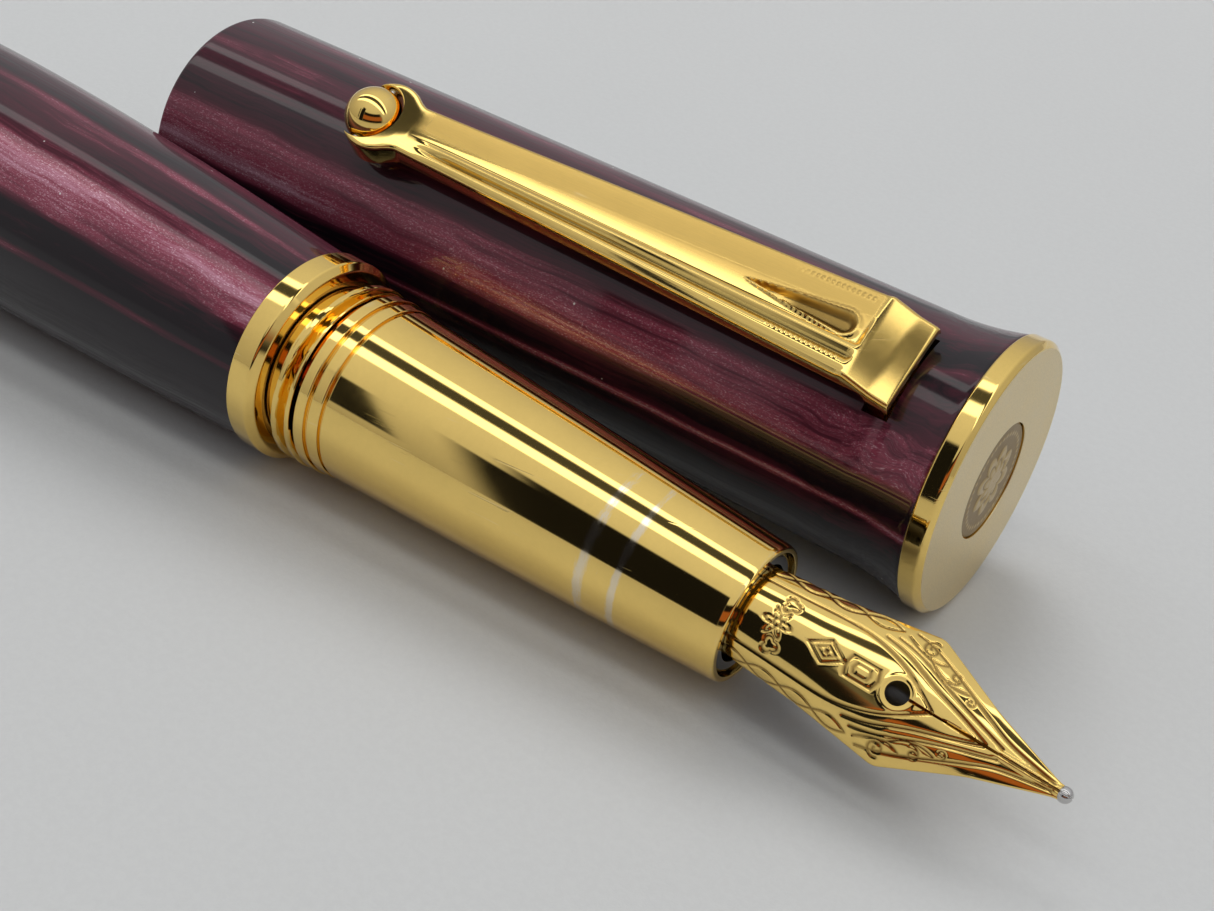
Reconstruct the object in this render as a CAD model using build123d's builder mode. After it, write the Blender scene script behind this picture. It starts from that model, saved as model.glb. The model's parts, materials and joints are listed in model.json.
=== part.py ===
"""Fountain pen, uncapped, with its cap lying alongside on a flat surface.

Everything is in millimetres. A station is a distance along an axis: on the pen it is counted from
the nib's tip, on the cap from the crown's face, and in both cases it grows more negative towards
the other end. The cap's axis runs along X. The pen rests on its belly and on its gold ring, so its
axis dips a little towards the nib.
"""
from build123d import *
import math
import os

os.makedirs("parts", exist_ok=True)

# ---------------------------------------------------------------- driving dimensions: the pen
PEN_LENGTH = 132.0          # nib tip to tail face
PEN_DIP = 2.5               # degrees that the pen's axis slopes down towards the nib
NIB_ROLL = 44.0             # degrees that the pen is rolled, nib facing away from the cap
BELLY_R = 8.5               # widest radius of the barrel
BARREL_MOUTH_R = 7.05       # barrel radius just behind the gold ring
TAIL_R = 8.2
RING_R = 7.3                # gold ring at the barrel's mouth
RING_FRONT = -55.3
RING_BACK = -57.4
GRIP_FRONT = -20.8
GRIP_FRONT_R = 4.65
GRIP_BACK = -50.2
GRIP_BACK_R = 6.15
FIT = 0.03                  # gap of pieces that are pressed or glued together
RUN = 0.1                   # radial gap of pieces that turn or slide in each other

# ---------------------------------------------------------------- driving dimensions: the cap
CAP_LENGTH = 67.0           # crown face to mouth
CAP_R = 8.8
CROWN_R = 9.6
CAP_BACK_FROM_TIP = 14.6    # how far behind the nib's tip the crown's face lies
CAP_GAP_Y = 18.0            # sideways distance between the two axes
CLIP_TILT = 31.5            # degrees that the clip leans from the top towards the pen
CLIP_ROOT = -5.3
CLIP_TOP = 11.4             # height of the clip's top above the cap's axis
BALL_R = 2.1
BALL_STATION = -48.1

# ---------------------------------------------------------------- the shared frame
DIP = math.radians(PEN_DIP)
LENGTH_X = PEN_LENGTH * math.cos(DIP) + TAIL_R * math.sin(DIP)
WIDTH_Y = BELLY_R + CAP_GAP_Y + CROWN_R
X_TIP = LENGTH_X / 2
PEN_Y = BELLY_R - WIDTH_Y / 2
CAP_Y = PEN_Y + CAP_GAP_Y
X_CROWN = X_TIP - CAP_BACK_FROM_TIP

# the pen touches the surface at its ring and at one place on its belly
REST_POINTS = [(RING_FRONT - 0.4, RING_R), (-78.0, 8.25)]
Z_TIP = max(r * math.cos(DIP) + s * math.sin(DIP) for s, r in REST_POINTS)

# local x of the side planes runs along the axis, local y points up from it
PEN_TIP = Vector(X_TIP, PEN_Y, Z_TIP)
PEN_ALONG = Vector(math.cos(DIP), 0, -math.sin(DIP))
PEN_UP = Vector(math.sin(DIP), 0, math.cos(DIP))
CROWN_CENTRE = Vector(X_CROWN, CAP_Y, CROWN_R)
PEN_PLANE = Plane(origin=PEN_TIP, x_dir=PEN_ALONG, z_dir=(0, -1, 0))
CAP_PLANE = Plane(origin=CROWN_CENTRE, x_dir=(1, 0, 0), z_dir=(0, -1, 0))

# the nib and feed share the pen's axis but face sideways by the roll
ROLL = math.radians(NIB_ROLL)
NIB_UP = PEN_UP * math.cos(ROLL) - Vector(0, 1, 0) * math.sin(ROLL)
NIB_SIDE = PEN_UP * math.sin(ROLL) + Vector(0, 1, 0) * math.cos(ROLL)
NIB_PLANE = Plane(origin=PEN_TIP, x_dir=PEN_ALONG, z_dir=NIB_SIDE * -1)
NIB_PLAN = Plane(origin=PEN_TIP, x_dir=PEN_ALONG, z_dir=NIB_UP)
PEN_AXIS = Axis(PEN_TIP, PEN_ALONG)
CAP_AXIS = Axis(CROWN_CENTRE, (1, 0, 0))

# the clip's own planes: one seen from its side, one seen from above it
TILT = math.radians(CLIP_TILT)
CLIP_UP = Vector(0, -math.sin(TILT), math.cos(TILT))
CLIP_SIDE = Vector(0, -math.cos(TILT), -math.sin(TILT))
CLIP_PLANE = Plane(origin=CROWN_CENTRE, x_dir=(1, 0, 0), z_dir=CLIP_SIDE)
CLIP_PLAN = Plane(origin=CROWN_CENTRE, x_dir=(1, 0, 0), z_dir=CLIP_UP)


def outline(plane, *points):
    """Closed straight-sided outline on a centre plane; each point is (station, radius)."""
    with BuildSketch(plane) as drawn:
        with BuildLine():
            Polyline(*points, close=True)
        make_face()
    return drawn.sketch


def across(station, up=0.0):
    """Plane square to the pen's axis at a station, local y along the nib's upward direction."""
    return Plane(
        origin=PEN_TIP + PEN_ALONG * station + NIB_UP * up, x_dir=NIB_SIDE, z_dir=PEN_ALONG
    )


def across_cap(station):
    """Plane square to the cap's axis at a station, local x sideways and local y up."""
    return Plane(origin=CROWN_CENTRE + Vector(station, 0, 0), x_dir=(0, 1, 0), z_dir=(1, 0, 0))


def thread(front, back, crest, root, pitch):
    """Points along a threaded stretch from front to back, one tooth to each pitch."""
    points = []
    for tooth in range(int((front - back) / pitch)):
        start = front - tooth * pitch
        points.append((start, root))
        points.append((start - 0.3 * pitch, crest))
        points.append((start - 0.55 * pitch, crest))
        points.append((start - 0.85 * pitch, root))
    return points


def finish(piece, label):
    """Label a finished piece and write its file."""
    piece.part.label = label
    export_step(piece.part, f"parts/{label}.step")


# ================================================================ nib and feed
NIB_BACK = -31.0            # end of the nib's tail inside the section
NIB_SOCKET_R = 3.3
NIB_R = 3.25                # outer radius of the nib where it enters the section
NIB_THICK = 0.35
NIB_HALF_ANGLE = 66.0       # degrees that the nib wraps round the feed on each side
NIB_MOUTH = GRIP_FRONT - 1.0
SHOULDER_STATION = -10.2
NIB_TIP_FLAT = -0.9
TIPPING_R = 0.5
BREATHER_STATION = -10.7
BREATHER_R = 0.72
SLIT = 0.12
FEED_R = NIB_R - NIB_THICK - 0.05
FEED_BACK = -36.0


def nib_arc(station, radius, half_angle, top):
    """Cross-section of the nib: a curved strip of one thickness whose crest is at height top."""
    with BuildSketch(across(station, top - radius)) as drawn:
        with BuildLine():
            upper = CenterArc((0, 0), radius, 90 - half_angle, 2 * half_angle)
            lower = CenterArc((0, 0), radius - NIB_THICK, 90 - half_angle, 2 * half_angle)
            Line(upper @ 0, lower @ 0)
            Line(upper @ 1, lower @ 1)
        make_face()
    return drawn.sketch


# cross-sections of the blade: station, radius, half angle in degrees, height of the crest
NIB_ARCS = [
    (NIB_MOUTH, NIB_R, NIB_HALF_ANGLE, NIB_R),
    (-16.0, 4.0, 58.0, 3.15),
    (SHOULDER_STATION, 6.0, 44.5, 2.8),
    (-5.5, 5.0, 24.5, 1.8),
    (NIB_TIP_FLAT, 1.6, 17.0, 0.55),
]

with BuildPart() as nib:
    # the blade widens from the section to its shoulders, then tapers to the tip
    loft([nib_arc(*arc) for arc in NIB_ARCS[:3]], ruled=True)
    loft([nib_arc(*arc) for arc in NIB_ARCS[2:]], ruled=True)
    # the tail that the section grips
    extrude(nib_arc(NIB_BACK, NIB_R, NIB_HALF_ANGLE, NIB_R), amount=NIB_MOUTH - NIB_BACK)
    # breather hole and the slit from it to the tip
    with BuildSketch(NIB_PLAN):
        with Locations((BREATHER_STATION, 0)):
            Circle(BREATHER_R)
        with Locations((BREATHER_STATION / 2, 0)):
            Rectangle(-BREATHER_STATION, SLIT)
    extrude(amount=6, mode=Mode.SUBTRACT)
finish(nib, "nib")

TIPPING_UP = 0.3            # how far the tipping's centre lies above the pen's axis
with BuildPart() as nib_tipping:
    with Locations(PEN_TIP - PEN_ALONG * TIPPING_R + NIB_UP * TIPPING_UP):
        Sphere(TIPPING_R)
    split(bisect_by=across(NIB_TIP_FLAT), keep=Keep.TOP)
finish(nib_tipping, "nib_tipping")

FEED_NOSE = -7.0
FEED_NOSE_UP = 0.75
FEED_NOSE_R = 0.6
FEED_WAIST = (-13.0, 0.3, 1.9)  # station, height above the axis, radius
FIN_FIRST = -19.8
FIN_COUNT = 8
FIN_PITCH = 0.9
FIN_SLOT = 0.4
FEED_CORE_R = 1.1           # solid core that the fins stand on
FEED_CHANNEL = (0.6, 0.6)   # depth and width of the ink channel along the top
with BuildPart() as feed:
    with BuildSketch(across(FEED_BACK)):
        Circle(FEED_R)
    extrude(amount=GRIP_FRONT - FEED_BACK)
    with BuildSketch(across(GRIP_FRONT)):
        Circle(FEED_R)
    with BuildSketch(across(FEED_WAIST[0], FEED_WAIST[1])):
        Circle(FEED_WAIST[2])
    with BuildSketch(across(FEED_NOSE, FEED_NOSE_UP)):
        Circle(FEED_NOSE_R)
    loft(ruled=True)
    # comb of fins on the underside: slots cut up to the core, never through the top
    with BuildSketch(NIB_PLANE):
        for fin in range(FIN_COUNT):
            with Locations((FIN_FIRST + fin * FIN_PITCH, -FEED_R)):
                Rectangle(FIN_SLOT, 2 * (FEED_R - FEED_CORE_R))
    extrude(amount=FEED_R, both=True, mode=Mode.SUBTRACT)
    # ink channel along the top
    with BuildSketch(NIB_PLANE):
        with Locations(((FEED_BACK + FEED_NOSE) / 2, FEED_R)):
            Rectangle(FEED_NOSE - FEED_BACK + 1, 2 * FEED_CHANNEL[0])
    extrude(amount=FEED_CHANNEL[1] / 2, both=True, mode=Mode.SUBTRACT)
finish(feed, "feed")

# ================================================================ section
CORE_R = 4.2
NIPPLE_THREAD_R = 4.9
NIPPLE_ROOT_R = 4.6
NIPPLE_PITCH = 0.8
NIPPLE_BACK = RING_FRONT - 8.8
CAVITY_R = 3.95
INK_TUBE_R = 1.25
INK_HOLE_R = 0.5
WEB_FRONT = FEED_BACK - 0.5
WEB_BACK = FEED_BACK - 2.5
INK_TUBE_BACK = WEB_BACK - 6.5

with BuildPart() as section_core:
    core_outline = outline(
        PEN_PLANE,
        (GRIP_FRONT - 0.25, NIB_SOCKET_R),
        (GRIP_FRONT - 0.25, CORE_R - 0.25),
        (GRIP_FRONT - 0.5, CORE_R - FIT),
        (RING_FRONT, CORE_R - FIT),
        *thread(
            RING_FRONT - 0.8, NIPPLE_BACK + 0.4, NIPPLE_THREAD_R, NIPPLE_ROOT_R, NIPPLE_PITCH
        ),
        (NIPPLE_BACK, NIPPLE_ROOT_R),
        (NIPPLE_BACK, CAVITY_R),
        (WEB_BACK, CAVITY_R),
        (WEB_BACK, INK_TUBE_R),
        (INK_TUBE_BACK, INK_TUBE_R - 0.25),
        (INK_TUBE_BACK, INK_HOLE_R),
        (WEB_FRONT, INK_HOLE_R),
        (WEB_FRONT, FEED_R + 0.06),
        (NIB_BACK - 0.5, FEED_R + 0.06),
        (NIB_BACK - 0.5, NIB_SOCKET_R),
    )
    revolve(core_outline, axis=PEN_AXIS)
finish(section_core, "section_core")

with BuildPart() as grip_sleeve:
    grip_outline = outline(
        PEN_PLANE,
        (GRIP_FRONT, CORE_R + 0.05),
        (GRIP_FRONT, GRIP_FRONT_R - 0.2),
        (GRIP_FRONT - 0.2, GRIP_FRONT_R),
        (GRIP_BACK + 14, 5.5),
        (GRIP_BACK, GRIP_BACK_R),
        (GRIP_BACK, GRIP_BACK_R - 0.25),
        (GRIP_BACK - 0.2, GRIP_BACK_R - 0.25),
        (GRIP_BACK - 0.2, GRIP_BACK_R + 0.1),
        (GRIP_BACK - 1.1, GRIP_BACK_R + 0.15),
        (GRIP_BACK - 1.1, GRIP_BACK_R - 0.1),
        (GRIP_BACK - 1.3, GRIP_BACK_R - 0.1),
        (GRIP_BACK - 1.3, GRIP_BACK_R + 0.25),
        (GRIP_BACK - 2.1, GRIP_BACK_R + 0.25),
        (GRIP_BACK - 2.1, GRIP_BACK_R),
        (GRIP_BACK - 2.4, GRIP_BACK_R),
        (GRIP_BACK - 2.5, GRIP_BACK_R + 0.4),
        (GRIP_BACK - 3.2, GRIP_BACK_R + 0.4),
        (GRIP_BACK - 3.4, GRIP_BACK_R - 0.5),
        (RING_FRONT + FIT, GRIP_BACK_R - 0.5),
        (RING_FRONT + FIT, CORE_R),
    )
    revolve(grip_outline, axis=PEN_AXIS)
finish(grip_sleeve, "grip_sleeve")

# ================================================================ barrel
BUSH_R = 6.0
BUSH_BORE_R = NIPPLE_THREAD_R + RUN
BUSH_BACK = RING_FRONT - 11.8
THREAD_TRAVEL = 3.2         # how far the barrel backs off while it is unscrewed
SEAL_STATION = RING_FRONT - 9.9
SEAL_SECTION_R = 0.4
SEAL_MIDDLE_R = BUSH_BORE_R + SEAL_SECTION_R - 0.03
BARREL_BORE_R = 5.3
BARREL_CAVITY_END = -123.4
TAIL_FRONT = -PEN_LENGTH + 1.7
TAIL_STUD_R = 2.0

with BuildPart() as barrel_bush:
    bush_outline = outline(
        PEN_PLANE,
        (RING_FRONT - 0.1, BUSH_BORE_R),
        (RING_FRONT - 0.1, BUSH_R),
        (BUSH_BACK, BUSH_R),
        (BUSH_BACK, BUSH_BORE_R),
        (SEAL_STATION - 0.6, BUSH_BORE_R),
        (SEAL_STATION - 0.6, BUSH_R - 0.15),
        (SEAL_STATION + THREAD_TRAVEL + 0.6, BUSH_R - 0.15),
        (SEAL_STATION + THREAD_TRAVEL + 0.6, BUSH_BORE_R),
    )
    revolve(bush_outline, axis=PEN_AXIS)
finish(barrel_bush, "barrel_bush")

with BuildPart() as barrel_seal:
    with BuildSketch(PEN_PLANE):
        with Locations((SEAL_STATION, SEAL_MIDDLE_R)):
            Circle(SEAL_SECTION_R)
    revolve(axis=PEN_AXIS)
finish(barrel_seal, "barrel_seal")

with BuildPart() as barrel_ring:
    ring_outline = outline(
        PEN_PLANE,
        (RING_FRONT, BUSH_R + FIT),
        (RING_FRONT, RING_R - 0.5),
        (RING_FRONT - 0.4, RING_R),
        (RING_BACK + 0.1, RING_R),
        (RING_BACK + FIT, RING_R - 0.1),
        (RING_BACK + FIT, BUSH_R + FIT),
    )
    revolve(ring_outline, axis=PEN_AXIS)
finish(barrel_ring, "barrel_ring")

with BuildPart() as barrel:
    with BuildSketch(PEN_PLANE):
        with BuildLine():
            flank = Spline(
                (RING_BACK, BARREL_MOUTH_R),
                (-78.0, 8.25),
                (-94.0, BELLY_R),
                (-120.0, 7.8),
                (TAIL_FRONT, TAIL_R - 0.1),
            )
            Polyline(
                flank @ 1,
                (TAIL_FRONT, TAIL_STUD_R + FIT),
                (TAIL_FRONT + 4.0, TAIL_STUD_R + FIT),
                (TAIL_FRONT + 4.0, 0),
                (BARREL_CAVITY_END, 0),
                (BARREL_CAVITY_END, BARREL_BORE_R - 1.0),
                (BARREL_CAVITY_END + 1.0, BARREL_BORE_R),
                (BUSH_BACK - 0.3, BARREL_BORE_R),
                (BUSH_BACK - 0.3, BUSH_R + FIT),
                (RING_BACK, BUSH_R + FIT),
                flank @ 0,
            )
        make_face()
    revolve(axis=PEN_AXIS)
finish(barrel, "barrel")

with BuildPart() as tail_disc:
    tail_outline = outline(
        PEN_PLANE,
        (TAIL_FRONT + 3.6, 0),
        (TAIL_FRONT + 3.6, TAIL_STUD_R),
        (TAIL_FRONT - FIT, TAIL_STUD_R),
        (TAIL_FRONT - FIT, TAIL_R),
        (-PEN_LENGTH + 0.3, TAIL_R),
        (-PEN_LENGTH, TAIL_R - 0.3),
        (-PEN_LENGTH, 0),
    )
    revolve(tail_outline, axis=PEN_AXIS)
finish(tail_disc, "tail_disc")

# ================================================================ ink converter
CONVERTER_FRONT = WEB_BACK - 0.7
CONVERTER_R = 3.6
RESERVOIR_R = 2.5
TUBE_R = 3.3
TUBE_BACK = CONVERTER_FRONT - 50.8
BAND_R = 3.85
BAND_FRONT = TUBE_BACK + 8.0
BAND_BACK = TUBE_BACK - 12.0
NUT_R = 2.1
NUT_FRONT = TUBE_BACK + 4.0
NUT_BACK = BAND_BACK - 4.0
ROD_R = 1.2
ROD_FRONT = CONVERTER_FRONT - 10.3
ROD_BACK = TUBE_BACK + 2.0
KNOB_R = 3.5
KNOB_BACK = BAND_BACK - 9.0
KNOB_FLUTES = 20
PISTON_BACK = ROD_FRONT - 4.5
MOUTH_BORE_R = INK_TUBE_R + 0.05

with BuildPart() as converter_tube:
    tube_outline = outline(
        PEN_PLANE,
        (CONVERTER_FRONT, MOUTH_BORE_R),
        (CONVERTER_FRONT, CONVERTER_R - 0.4),
        (CONVERTER_FRONT - 0.8, CONVERTER_R),
        (CONVERTER_FRONT - 8.8, CONVERTER_R),
        (CONVERTER_FRONT - 9.3, TUBE_R),
        (TUBE_BACK, TUBE_R),
        (TUBE_BACK, RESERVOIR_R),
        (CONVERTER_FRONT - 9.0, RESERVOIR_R),
        (CONVERTER_FRONT - 7.4, MOUTH_BORE_R),
    )
    revolve(tube_outline, axis=PEN_AXIS)
finish(converter_tube, "converter_tube")

with BuildPart() as converter_band:
    band_outline = outline(
        PEN_PLANE,
        (BAND_FRONT, TUBE_R + FIT),
        (BAND_FRONT, BAND_R - 0.15),
        (BAND_FRONT - 0.3, BAND_R),
        (BAND_BACK + 0.3, BAND_R),
        (BAND_BACK, BAND_R - 0.3),
        (BAND_BACK, NUT_R + RUN),
        (TUBE_BACK - FIT, NUT_R + RUN),
        (TUBE_BACK - FIT, TUBE_R + FIT),
    )
    revolve(band_outline, axis=PEN_AXIS)
finish(converter_band, "converter_band")

with BuildPart() as converter_nut:
    nut_outline = outline(
        PEN_PLANE,
        (NUT_FRONT, ROD_R + RUN),
        (NUT_FRONT, NUT_R),
        (NUT_BACK, NUT_R),
        (NUT_BACK, ROD_R + RUN),
    )
    revolve(nut_outline, axis=PEN_AXIS)
finish(converter_nut, "converter_nut")

with BuildPart() as converter_knob:
    knob_outline = outline(
        PEN_PLANE,
        (BAND_BACK - 0.2, NUT_R + FIT),
        (BAND_BACK - 0.2, KNOB_R - 0.3),
        (BAND_BACK - 0.5, KNOB_R),
        (KNOB_BACK + 0.8, KNOB_R),
        (KNOB_BACK, KNOB_R - 0.7),
        (KNOB_BACK, 0),
        (KNOB_BACK + 1.6, 0),
        (KNOB_BACK + 1.6, ROD_R + RUN),
        (NUT_BACK - FIT, ROD_R + RUN),
        (NUT_BACK - FIT, NUT_R + FIT),
    )
    revolve(knob_outline, axis=PEN_AXIS)
    with BuildSketch(across(KNOB_BACK - 0.5)):
        with PolarLocations(KNOB_R + 0.1, KNOB_FLUTES):
            Circle(0.3)
    extrude(amount=6.5, mode=Mode.SUBTRACT)
finish(converter_knob, "converter_knob")

with BuildPart() as piston_rod:
    rod_outline = outline(
        PEN_PLANE,
        (ROD_FRONT, 0),
        (ROD_FRONT, ROD_R),
        *thread(ROD_FRONT - 10, ROD_BACK + 0.5, ROD_R, ROD_R - 0.2, 1.0),
        (ROD_BACK, ROD_R - 0.2),
        (ROD_BACK, 0),
    )
    revolve(rod_outline, axis=PEN_AXIS)
finish(piston_rod, "piston_rod")

SEAL_LIP_R = RESERVOIR_R - 0.05
SEAL_WAIST_R = 1.9
with BuildPart() as piston_seal:
    seal_outline = outline(
        PEN_PLANE,
        (ROD_FRONT + 0.7, 0),
        (ROD_FRONT + 0.7, SEAL_WAIST_R),
        (ROD_FRONT + 0.3, SEAL_LIP_R),
        (ROD_FRONT - 0.5, SEAL_LIP_R),
        (ROD_FRONT - 0.9, SEAL_WAIST_R),
        (PISTON_BACK + 1.0, SEAL_WAIST_R),
        (PISTON_BACK + 0.7, SEAL_LIP_R),
        (PISTON_BACK, SEAL_LIP_R),
        (PISTON_BACK, ROD_R + FIT),
        (ROD_FRONT + 0.02, ROD_R + FIT),
        (ROD_FRONT + 0.02, 0),
    )
    revolve(seal_outline, axis=PEN_AXIS)
finish(piston_seal, "piston_seal")

# ================================================================ cap
CAP_BORE_R = 7.4
INSERT_MOUTH = -CAP_LENGTH + 0.8
INSERT_LENGTH = 7.0
INSERT_BORE_R = 6.65       # slides over the bands behind the grip
CROWN_THICK = 1.6
FLARE_START = -6.5
MEDALLION_R = 4.1
MEDALLION_DEPTH = 0.55
SCREW_R = 1.5
SCREW_HEAD_R = 2.5
CROWN_SPIGOT_BACK = -3.6
ANCHOR_FRONT = -3.8
ANCHOR_BACK = -8.4
INNER_CAP_FRONT = -8.5
INNER_CAP_BACK = -36.0
INNER_CAP_BORE_R = 6.5
SLOT_HALF = 3.35
TANG_HALF = 3.05
TANG_FRONT = CLIP_ROOT - 0.4
TANG_BACK = CLIP_ROOT - 1.6
TANG_FOOT = 6.1             # distance of the tang's foot from the cap's axis

with BuildPart() as cap_tube:
    with BuildSketch(CAP_PLANE):
        with BuildLine():
            Line((-CAP_LENGTH, CAP_R - 0.25), (-CAP_LENGTH + 0.25, CAP_R))
            Line((-CAP_LENGTH + 0.25, CAP_R), (FLARE_START, CAP_R))
            flare = Spline(
                (FLARE_START, CAP_R),
                (-CROWN_THICK, CROWN_R - 0.12),
                tangents=[(1, 0), (0.9, 0.22)],
            )
            Polyline(
                flare @ 1,
                (-CROWN_THICK, CAP_BORE_R),
                (-CAP_LENGTH, CAP_BORE_R),
                (-CAP_LENGTH, CAP_R - 0.25),
            )
        make_face()
    revolve(axis=CAP_AXIS)
    # slot that the clip's tang passes through
    with BuildSketch(CLIP_PLANE):
        with Locations(((TANG_FRONT + TANG_BACK) / 2, 8.5)):
            Rectangle(TANG_FRONT - TANG_BACK + 0.6, 5)
    extrude(amount=SLOT_HALF, both=True, mode=Mode.SUBTRACT)
finish(cap_tube, "cap_tube")

with BuildPart() as cap_insert:
    insert_outline = outline(
        CAP_PLANE,
        (INSERT_MOUTH, INSERT_BORE_R + 0.3),
        (INSERT_MOUTH, CAP_BORE_R - FIT),
        (INSERT_MOUTH + INSERT_LENGTH, CAP_BORE_R - FIT),
        (INSERT_MOUTH + INSERT_LENGTH, INSERT_BORE_R + 0.2),
        (INSERT_MOUTH + INSERT_LENGTH - 0.6, INSERT_BORE_R),
        (INSERT_MOUTH + 0.4, INSERT_BORE_R),
    )
    revolve(insert_outline, axis=CAP_AXIS)
finish(cap_insert, "cap_insert")

with BuildPart() as inner_cap:
    inner_outline = outline(
        CAP_PLANE,
        (INNER_CAP_FRONT, 0),
        (INNER_CAP_FRONT, CAP_BORE_R - FIT),
        (INNER_CAP_BACK, CAP_BORE_R - FIT),
        (INNER_CAP_BACK, INNER_CAP_BORE_R),
        (INNER_CAP_FRONT - 4, INNER_CAP_BORE_R),
        (INNER_CAP_FRONT - 0.9, 3.0),
        (INNER_CAP_FRONT - 0.9, 0),
    )
    revolve(inner_outline, axis=CAP_AXIS)
finish(inner_cap, "inner_cap")

with BuildPart() as clip_anchor:
    anchor_outline = outline(
        CAP_PLANE,
        (ANCHOR_FRONT, SCREW_R + FIT),
        (ANCHOR_FRONT, CAP_BORE_R - FIT),
        (ANCHOR_BACK, CAP_BORE_R - FIT),
        (ANCHOR_BACK, SCREW_R + FIT),
    )
    revolve(anchor_outline, axis=CAP_AXIS)
    with BuildSketch(CLIP_PLANE):
        with Locations(((TANG_FRONT + TANG_BACK) / 2, TANG_FOOT + 2.2)):
            Rectangle(TANG_FRONT - TANG_BACK + 0.6, 5)
    extrude(amount=SLOT_HALF, both=True, mode=Mode.SUBTRACT)
finish(clip_anchor, "clip_anchor")

with BuildPart() as crown_disc:
    crown_outline = outline(
        CAP_PLANE,
        (0, MEDALLION_R),
        (0, CROWN_R - 0.35),
        (-0.35, CROWN_R),
        (-CROWN_THICK + 0.1, CROWN_R),
        (-CROWN_THICK + FIT, CROWN_R - 0.1),
        (-CROWN_THICK + FIT, CAP_BORE_R - FIT),
        (CROWN_SPIGOT_BACK, CAP_BORE_R - FIT),
        (CROWN_SPIGOT_BACK, SCREW_R + RUN),
        (-2.4, SCREW_R + RUN),
        (-2.4, SCREW_HEAD_R + RUN),
        (-MEDALLION_DEPTH, SCREW_HEAD_R + RUN),
        (-MEDALLION_DEPTH, MEDALLION_R),
    )
    revolve(crown_outline, axis=CAP_AXIS)
finish(crown_disc, "crown_disc")

with BuildPart() as crown_medallion:
    medallion_outline = outline(
        CAP_PLANE,
        (-MEDALLION_DEPTH + 0.02, 0),
        (-MEDALLION_DEPTH + 0.02, MEDALLION_R - 0.05),
        (-0.12, MEDALLION_R - 0.05),
        (-0.12, 0),
    )
    revolve(medallion_outline, axis=CAP_AXIS)
finish(crown_medallion, "crown_medallion")

with BuildPart() as crown_screw:
    screw_outline = outline(
        CAP_PLANE,
        (-0.7, 0),
        (-0.7, SCREW_HEAD_R),
        (-2.37, SCREW_HEAD_R),
        (-2.37, SCREW_R),
        (ANCHOR_BACK + 0.2, SCREW_R),
        (ANCHOR_BACK + 0.2, 0),
    )
    revolve(screw_outline, axis=CAP_AXIS)
    with BuildSketch(across_cap(-0.7)):
        Rectangle(2 * SCREW_HEAD_R + 0.2, 0.6)
    extrude(amount=-0.7, mode=Mode.SUBTRACT)
finish(crown_screw, "crown_screw")

# ================================================================ clip
CLIP_THICK = 1.25
CLIP_ROOT_HALF = 3.25
CLIP_NECK_HALF = 2.0
FORK_HALF = 2.75
FORK_R = 2.9
BALL_HEIGHT = CAP_R + BALL_R + 0.06
BALL_CENTRE = (
    CROWN_CENTRE + Vector(BALL_STATION, 0, 0) + CLIP_UP * BALL_HEIGHT
)

with BuildPart() as clip:
    # seen from the side: flat bar with its end folded down into the cap
    with BuildSketch(CLIP_PLANE):
        with BuildLine():
            Polyline(
                (CLIP_ROOT - 0.9, CLIP_TOP),
                (BALL_STATION + 8, CLIP_TOP + 0.25),
                (BALL_STATION - 0.6, BALL_HEIGHT + 0.9),
                (BALL_STATION - 0.6, BALL_HEIGHT - 1.2),
                (BALL_STATION + 5, CLIP_TOP - CLIP_THICK + 0.1),
                (TANG_BACK, CLIP_TOP - CLIP_THICK),
                (TANG_BACK, TANG_FOOT),
                (TANG_FRONT, TANG_FOOT),
                (TANG_FRONT, CAP_R + 0.4),
                (CLIP_ROOT, CAP_R + 0.5),
                (CLIP_ROOT, CLIP_TOP - 0.7),
                close=True,
            )
        make_face()
    extrude(amount=CLIP_ROOT_HALF, both=True)
    # seen from above: taper to the neck, then the fork's two rounded lobes
    with BuildSketch(CLIP_PLAN):
        with BuildLine():
            Polyline(
                (CLIP_ROOT, -CLIP_ROOT_HALF),
                (CLIP_ROOT, CLIP_ROOT_HALF),
                (CLIP_ROOT - 2, CLIP_ROOT_HALF),
                (BALL_STATION + 4, CLIP_NECK_HALF),
                (BALL_STATION, CLIP_NECK_HALF),
                (BALL_STATION, -CLIP_NECK_HALF),
                (BALL_STATION + 4, -CLIP_NECK_HALF),
                (CLIP_ROOT - 2, -CLIP_ROOT_HALF),
                close=True,
            )
        make_face()
        with Locations((BALL_STATION + 1.0, 0)):
            Circle(FORK_R)
    extrude(amount=CLIP_TOP + 3, mode=Mode.INTERSECT)
    # the tang is a little narrower than the bar so that it clears the cap's slot
    with BuildSketch(CLIP_PLANE.offset(TANG_HALF)):
        with Locations((CLIP_ROOT - 1, CAP_R / 2)):
            Rectangle(4, CAP_R + 0.5)
    extrude(amount=1, mode=Mode.SUBTRACT)
    with BuildSketch(CLIP_PLANE.offset(-TANG_HALF)):
        with Locations((CLIP_ROOT - 1, CAP_R / 2)):
            Rectangle(4, CAP_R + 0.5)
    extrude(amount=-1, mode=Mode.SUBTRACT)
    # socket for the ball and the hole for its cross pin
    with Locations(BALL_CENTRE):
        Sphere(BALL_R + 0.12, mode=Mode.SUBTRACT)
    with BuildSketch(CLIP_PLANE):
        with Locations((BALL_STATION, BALL_HEIGHT)):
            Circle(0.4)
    extrude(amount=FORK_R + 1, both=True, mode=Mode.SUBTRACT)
finish(clip, "clip")

with BuildPart() as clip_ball:
    with Locations(BALL_CENTRE):
        Sphere(BALL_R)
    with BuildSketch(CLIP_PLANE):
        with Locations((BALL_STATION, BALL_HEIGHT)):
            Circle(0.43)
    extrude(amount=BALL_R + 1, both=True, mode=Mode.SUBTRACT)
finish(clip_ball, "clip_ball")

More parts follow.
